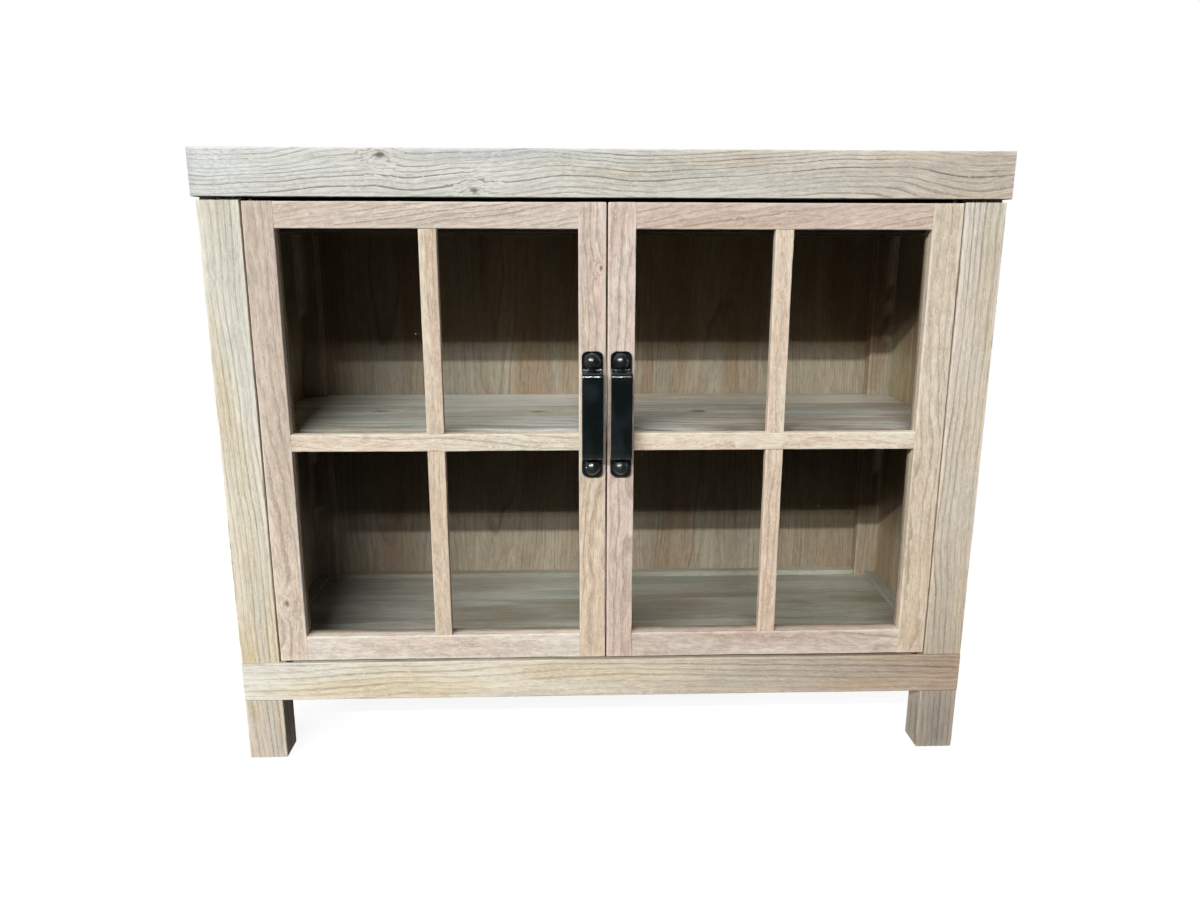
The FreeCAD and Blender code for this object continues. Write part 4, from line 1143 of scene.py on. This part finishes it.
def domes(node, strap_node):
    """Two bolt heads: a shallow ball turned about the bolt's line, with faint hammer facets and a flat rim."""
    low, high = spans(strap_node)
    across = (low[X] + high[X]) / 2
    face = high[Y] - STRAP_THICK
    ball = (DOME_WIDE ** 2 / 4 + DOME_HIGH ** 2) / (2 * DOME_HIGH)
    widest = math.asin(min(1.0, DOME_WIDE / 2 / ball))
    made = []
    for name, height in (("foot", low[Z] + BOLT_FROM_END), ("head", high[Z] - BOLT_FROM_END)):
        rng = np.random.default_rng(zlib.crc32(f"{node}_{name}".encode()))
        fall = np.linspace(0.02, 1, DOME_RINGS)[:, None] * widest
        turn = np.linspace(0, 2 * np.pi, DOME_POINTS + 1)[None, :-1]
        marks = sum(rng.uniform(0.5, 1) * np.sin(k * turn + rng.uniform(0, 6.3) + rng.uniform(2, 9) * fall)
                    for k in (2, 3, 5)) / 3
        size = ball - DOME_FACETS * (1 + marks) * np.sin(fall / widest * np.pi)
        radius = size * np.sin(fall)
        depth = face - DOME_HIGH + ball - size * np.cos(fall)
        points = np.stack([across + radius * np.cos(turn), np.broadcast_to(depth, radius.shape),
                           height + radius * np.sin(turn)], axis=2)
        rim = points[-1:] * 1.0
        rim[..., 1] = face + DOME_SUNK
        points = np.concatenate([points, rim])
        rings, around = points.shape[:2]
        made.append(Surface(points.reshape(-1, 3), tube_faces(rings, around)))
    return made


class SIDEBOARD_OT_fittings(Making, bpy.types.Operator):
    """Pivots, catches and screws, which stay as packed"""

    bl_idname = "sideboard.fittings"
    bl_label = "Pivots, catches and screws"

    def make(self):
        paints = settings().fittings
        steel = finish("zinc_steel", wire_turned, paints.steel, 0.32)
        brass = finish("turned_brass", wire_turned, paints.brass, 0.3)
        for node in ("upper_pivot_pins", "lower_pivot_pins", "door_catches", "top_screws"):
            keep(node, steel)
        for side in SIDES:
            keep(f"{side}_door_strike_plate", steel)
            keep(f"{side}_door_pivot_bushes", brass)


# Stage

CAMERA_AT = (-0.049, -1.375, 0.7556)
CAMERA_YAW, CAMERA_PITCH, CAMERA_ROLL = (math.radians(angle) for angle in (1.91, 13.08, 0.114))
TARGET = Vector((0.0, -0.17, 0.5))
FLOOR_HALF = 9.0
LAMPS = {
    # bearing and rise in degrees, distance, width and height, which power and what share of it, shift in width
    "key_low": (0, 29.7, 7.6, (9.0, 0.12), "key", 0.29, -4.0),
    "key_high": (0, 33.5, 8.4, (9.0, 0.12), "key", 1.0, -4.0),
    "fill_low": (-100, -5, 5.0, (2.0, 0.1), "fill", 1.22, 0.0),
    "fill_right": (105, 8, 5.0, (3.0, 1.2), "fill", 1.0, 0.0),
    "fill_behind": (170, 12, 5.0, (4.0, 1.6), "fill", 1.0, 0.0),
}


def lamp(name, bearing, rise, far, size, power, part, aside):
    """A rectangular lamp turned to the cabinet. Its bearing is from straight in front towards the right."""
    light = bpy.data.lights.new(name, "AREA")
    light.shape = "RECTANGLE"
    light.size, light.size_y = size
    light.energy = getattr(settings().stage, power) * part
    made = bpy.data.objects.new(name, light)
    bearing, rise = math.radians(bearing), math.radians(rise)
    away = Vector((math.sin(bearing) * math.cos(rise), -math.cos(bearing) * math.cos(rise), math.sin(rise)))
    made.location = TARGET + away * far + Vector((aside, 0.0, 0.0))
    made.rotation_mode = "QUATERNION"
    made.rotation_quaternion = (-away).to_track_quat("-Z", "Y")
    bpy.context.scene.collection.objects.link(made)


def wire_floor(w, shader):
    """A pale floor that fades to the white of the room, and shows white but for the shadows on it."""
    far = w.ease(w.vector("LENGTH", w.vector("MULTIPLY", w.spot(), (1, 1, 0))), 0.9, 2.6)
    near = w.math("SUBTRACT", 1.0, far)
    glow = w.math("MULTIPLY", w.looked_at(), w.math("MULTIPLY_ADD", far, 0.1, 0.9))
    w.feed(shader, {
        "Base Color": w.scaled(settings().stage.floor, near), "Roughness": 1.0, "Specular IOR Level": 0.0,
        "Emission Color": (1, 1, 1, 1), "Emission Strength": glow})


class SIDEBOARD_OT_stage(Making, bpy.types.Operator):
    """Pale floor, soft lamps, a bright room behind and the camera"""

    bl_idname = "sideboard.stage"
    bl_label = "Stage"

    def make(self):
        scene = bpy.context.scene
        scene.view_settings.view_transform = "Standard"
        self.make_floor()
        self.make_world()
        for name, traits in LAMPS.items():
            lamp(name, *traits)
        self.make_camera()

    def make_floor(self):
        ends = np.array((-FLOOR_HALF, FLOOR_HALF))
        x, y = np.meshgrid(ends, ends)
        points = np.stack([x.ravel(), y.ravel(), np.zeros(4)], axis=1)
        mesh = bpy.data.meshes.new("pale_floor")
        mesh.from_pydata(points.tolist(), [], [(0, 1, 3, 2)])
        floor = bpy.data.objects.new("pale_floor", mesh)
        bpy.context.scene.collection.objects.link(floor)
        mesh.materials.append(finish("pale_floor", wire_floor))

    def make_world(self):
        world = bpy.data.worlds.new("pale_room")
        world.use_nodes = True
        bpy.context.scene.world = world
        w = Wiring(world.node_tree)
        stage = settings().stage
        way = w.node("ShaderNodeTexCoord").outputs["Generated"]
        behind = w.ease(w.node("ShaderNodeSeparateXYZ", {0: way}).outputs["Y"], -0.3, 0.6)
        room = w.ease(behind, 0.0, 1.0, stage.dim, stage.bright)
        seen = w.looked_at(behind)
        level = w.math("ADD", w.math("MULTIPLY", w.math("SUBTRACT", 1.0, seen), room), seen)
        w.feed(world.node_tree.nodes["Background"], {"Color": (1, 1, 1, 1), "Strength": level})

    def make_camera(self):
        data = bpy.data.cameras.new("photo_camera")
        data.sensor_width = 36.0
        data.lens = settings().stage.lens
        data.clip_start = 0.05
        data.clip_end = 100.0
        camera = bpy.data.objects.new("photo_camera", data)
        yaw, pitch, roll = CAMERA_YAW, CAMERA_PITCH, CAMERA_ROLL
        ahead = Vector((math.sin(yaw) * math.cos(pitch), math.cos(yaw) * math.cos(pitch), -math.sin(pitch)))
        right = Vector((math.cos(yaw), -math.sin(yaw), 0.0))
        up = right.cross(ahead)
        right, up = right * math.cos(roll) + up * math.sin(roll), up * math.cos(roll) - right * math.sin(roll)
        turn = Matrix((right, up, -ahead)).transposed().to_4x4()
        camera.matrix_world = Matrix.Translation(CAMERA_AT) @ turn
        bpy.context.scene.collection.objects.link(camera)
        bpy.context.scene.camera = camera


class SIDEBOARD_PT_panel(bpy.types.Panel):
    """Lists what can be made"""

    bl_idname = "SIDEBOARD_PT_panel"
    bl_label = "Glazed sideboard"
    bl_space_type = "VIEW_3D"
    bl_region_type = "UI"
    bl_category = "Sideboard"

    def draw(self, context):
        for operator in OPERATORS:
            self.layout.operator(operator.bl_idname)
        for name in ("boards", "woods", "fittings", "stage"):
            box = self.layout.box()
            group = getattr(context.scene.sideboard, name)
            for key in group.bl_rna.properties.keys():
                if key not in ("rna_type", "name"):
                    box.prop(group, key)


GROUPS = (BoardSettings, WoodSettings, FittingSettings, StageSettings, SideboardSettings)
OPERATORS = (SIDEBOARD_OT_top, SIDEBOARD_OT_posts, SIDEBOARD_OT_rails, SIDEBOARD_OT_panels,
             SIDEBOARD_OT_shelves, SIDEBOARD_OT_door_frames, SIDEBOARD_OT_glazing, SIDEBOARD_OT_handles,
             SIDEBOARD_OT_fittings, SIDEBOARD_OT_stage)
CLASSES = (*GROUPS, *OPERATORS, SIDEBOARD_PT_panel)


def register():
    for cls in CLASSES:
        bpy.utils.register_class(cls)
    bpy.types.Scene.sideboard = bpy.props.PointerProperty(type=SideboardSettings)


def unregister():
    del bpy.types.Scene.sideboard
    for cls in reversed(CLASSES):
        bpy.utils.unregister_class(cls)


def main():
    register()
    for operator in OPERATORS:
        family, name = operator.bl_idname.split(".")
        getattr(getattr(bpy.ops, family), name)()


if __name__ == "__main__":
    main()
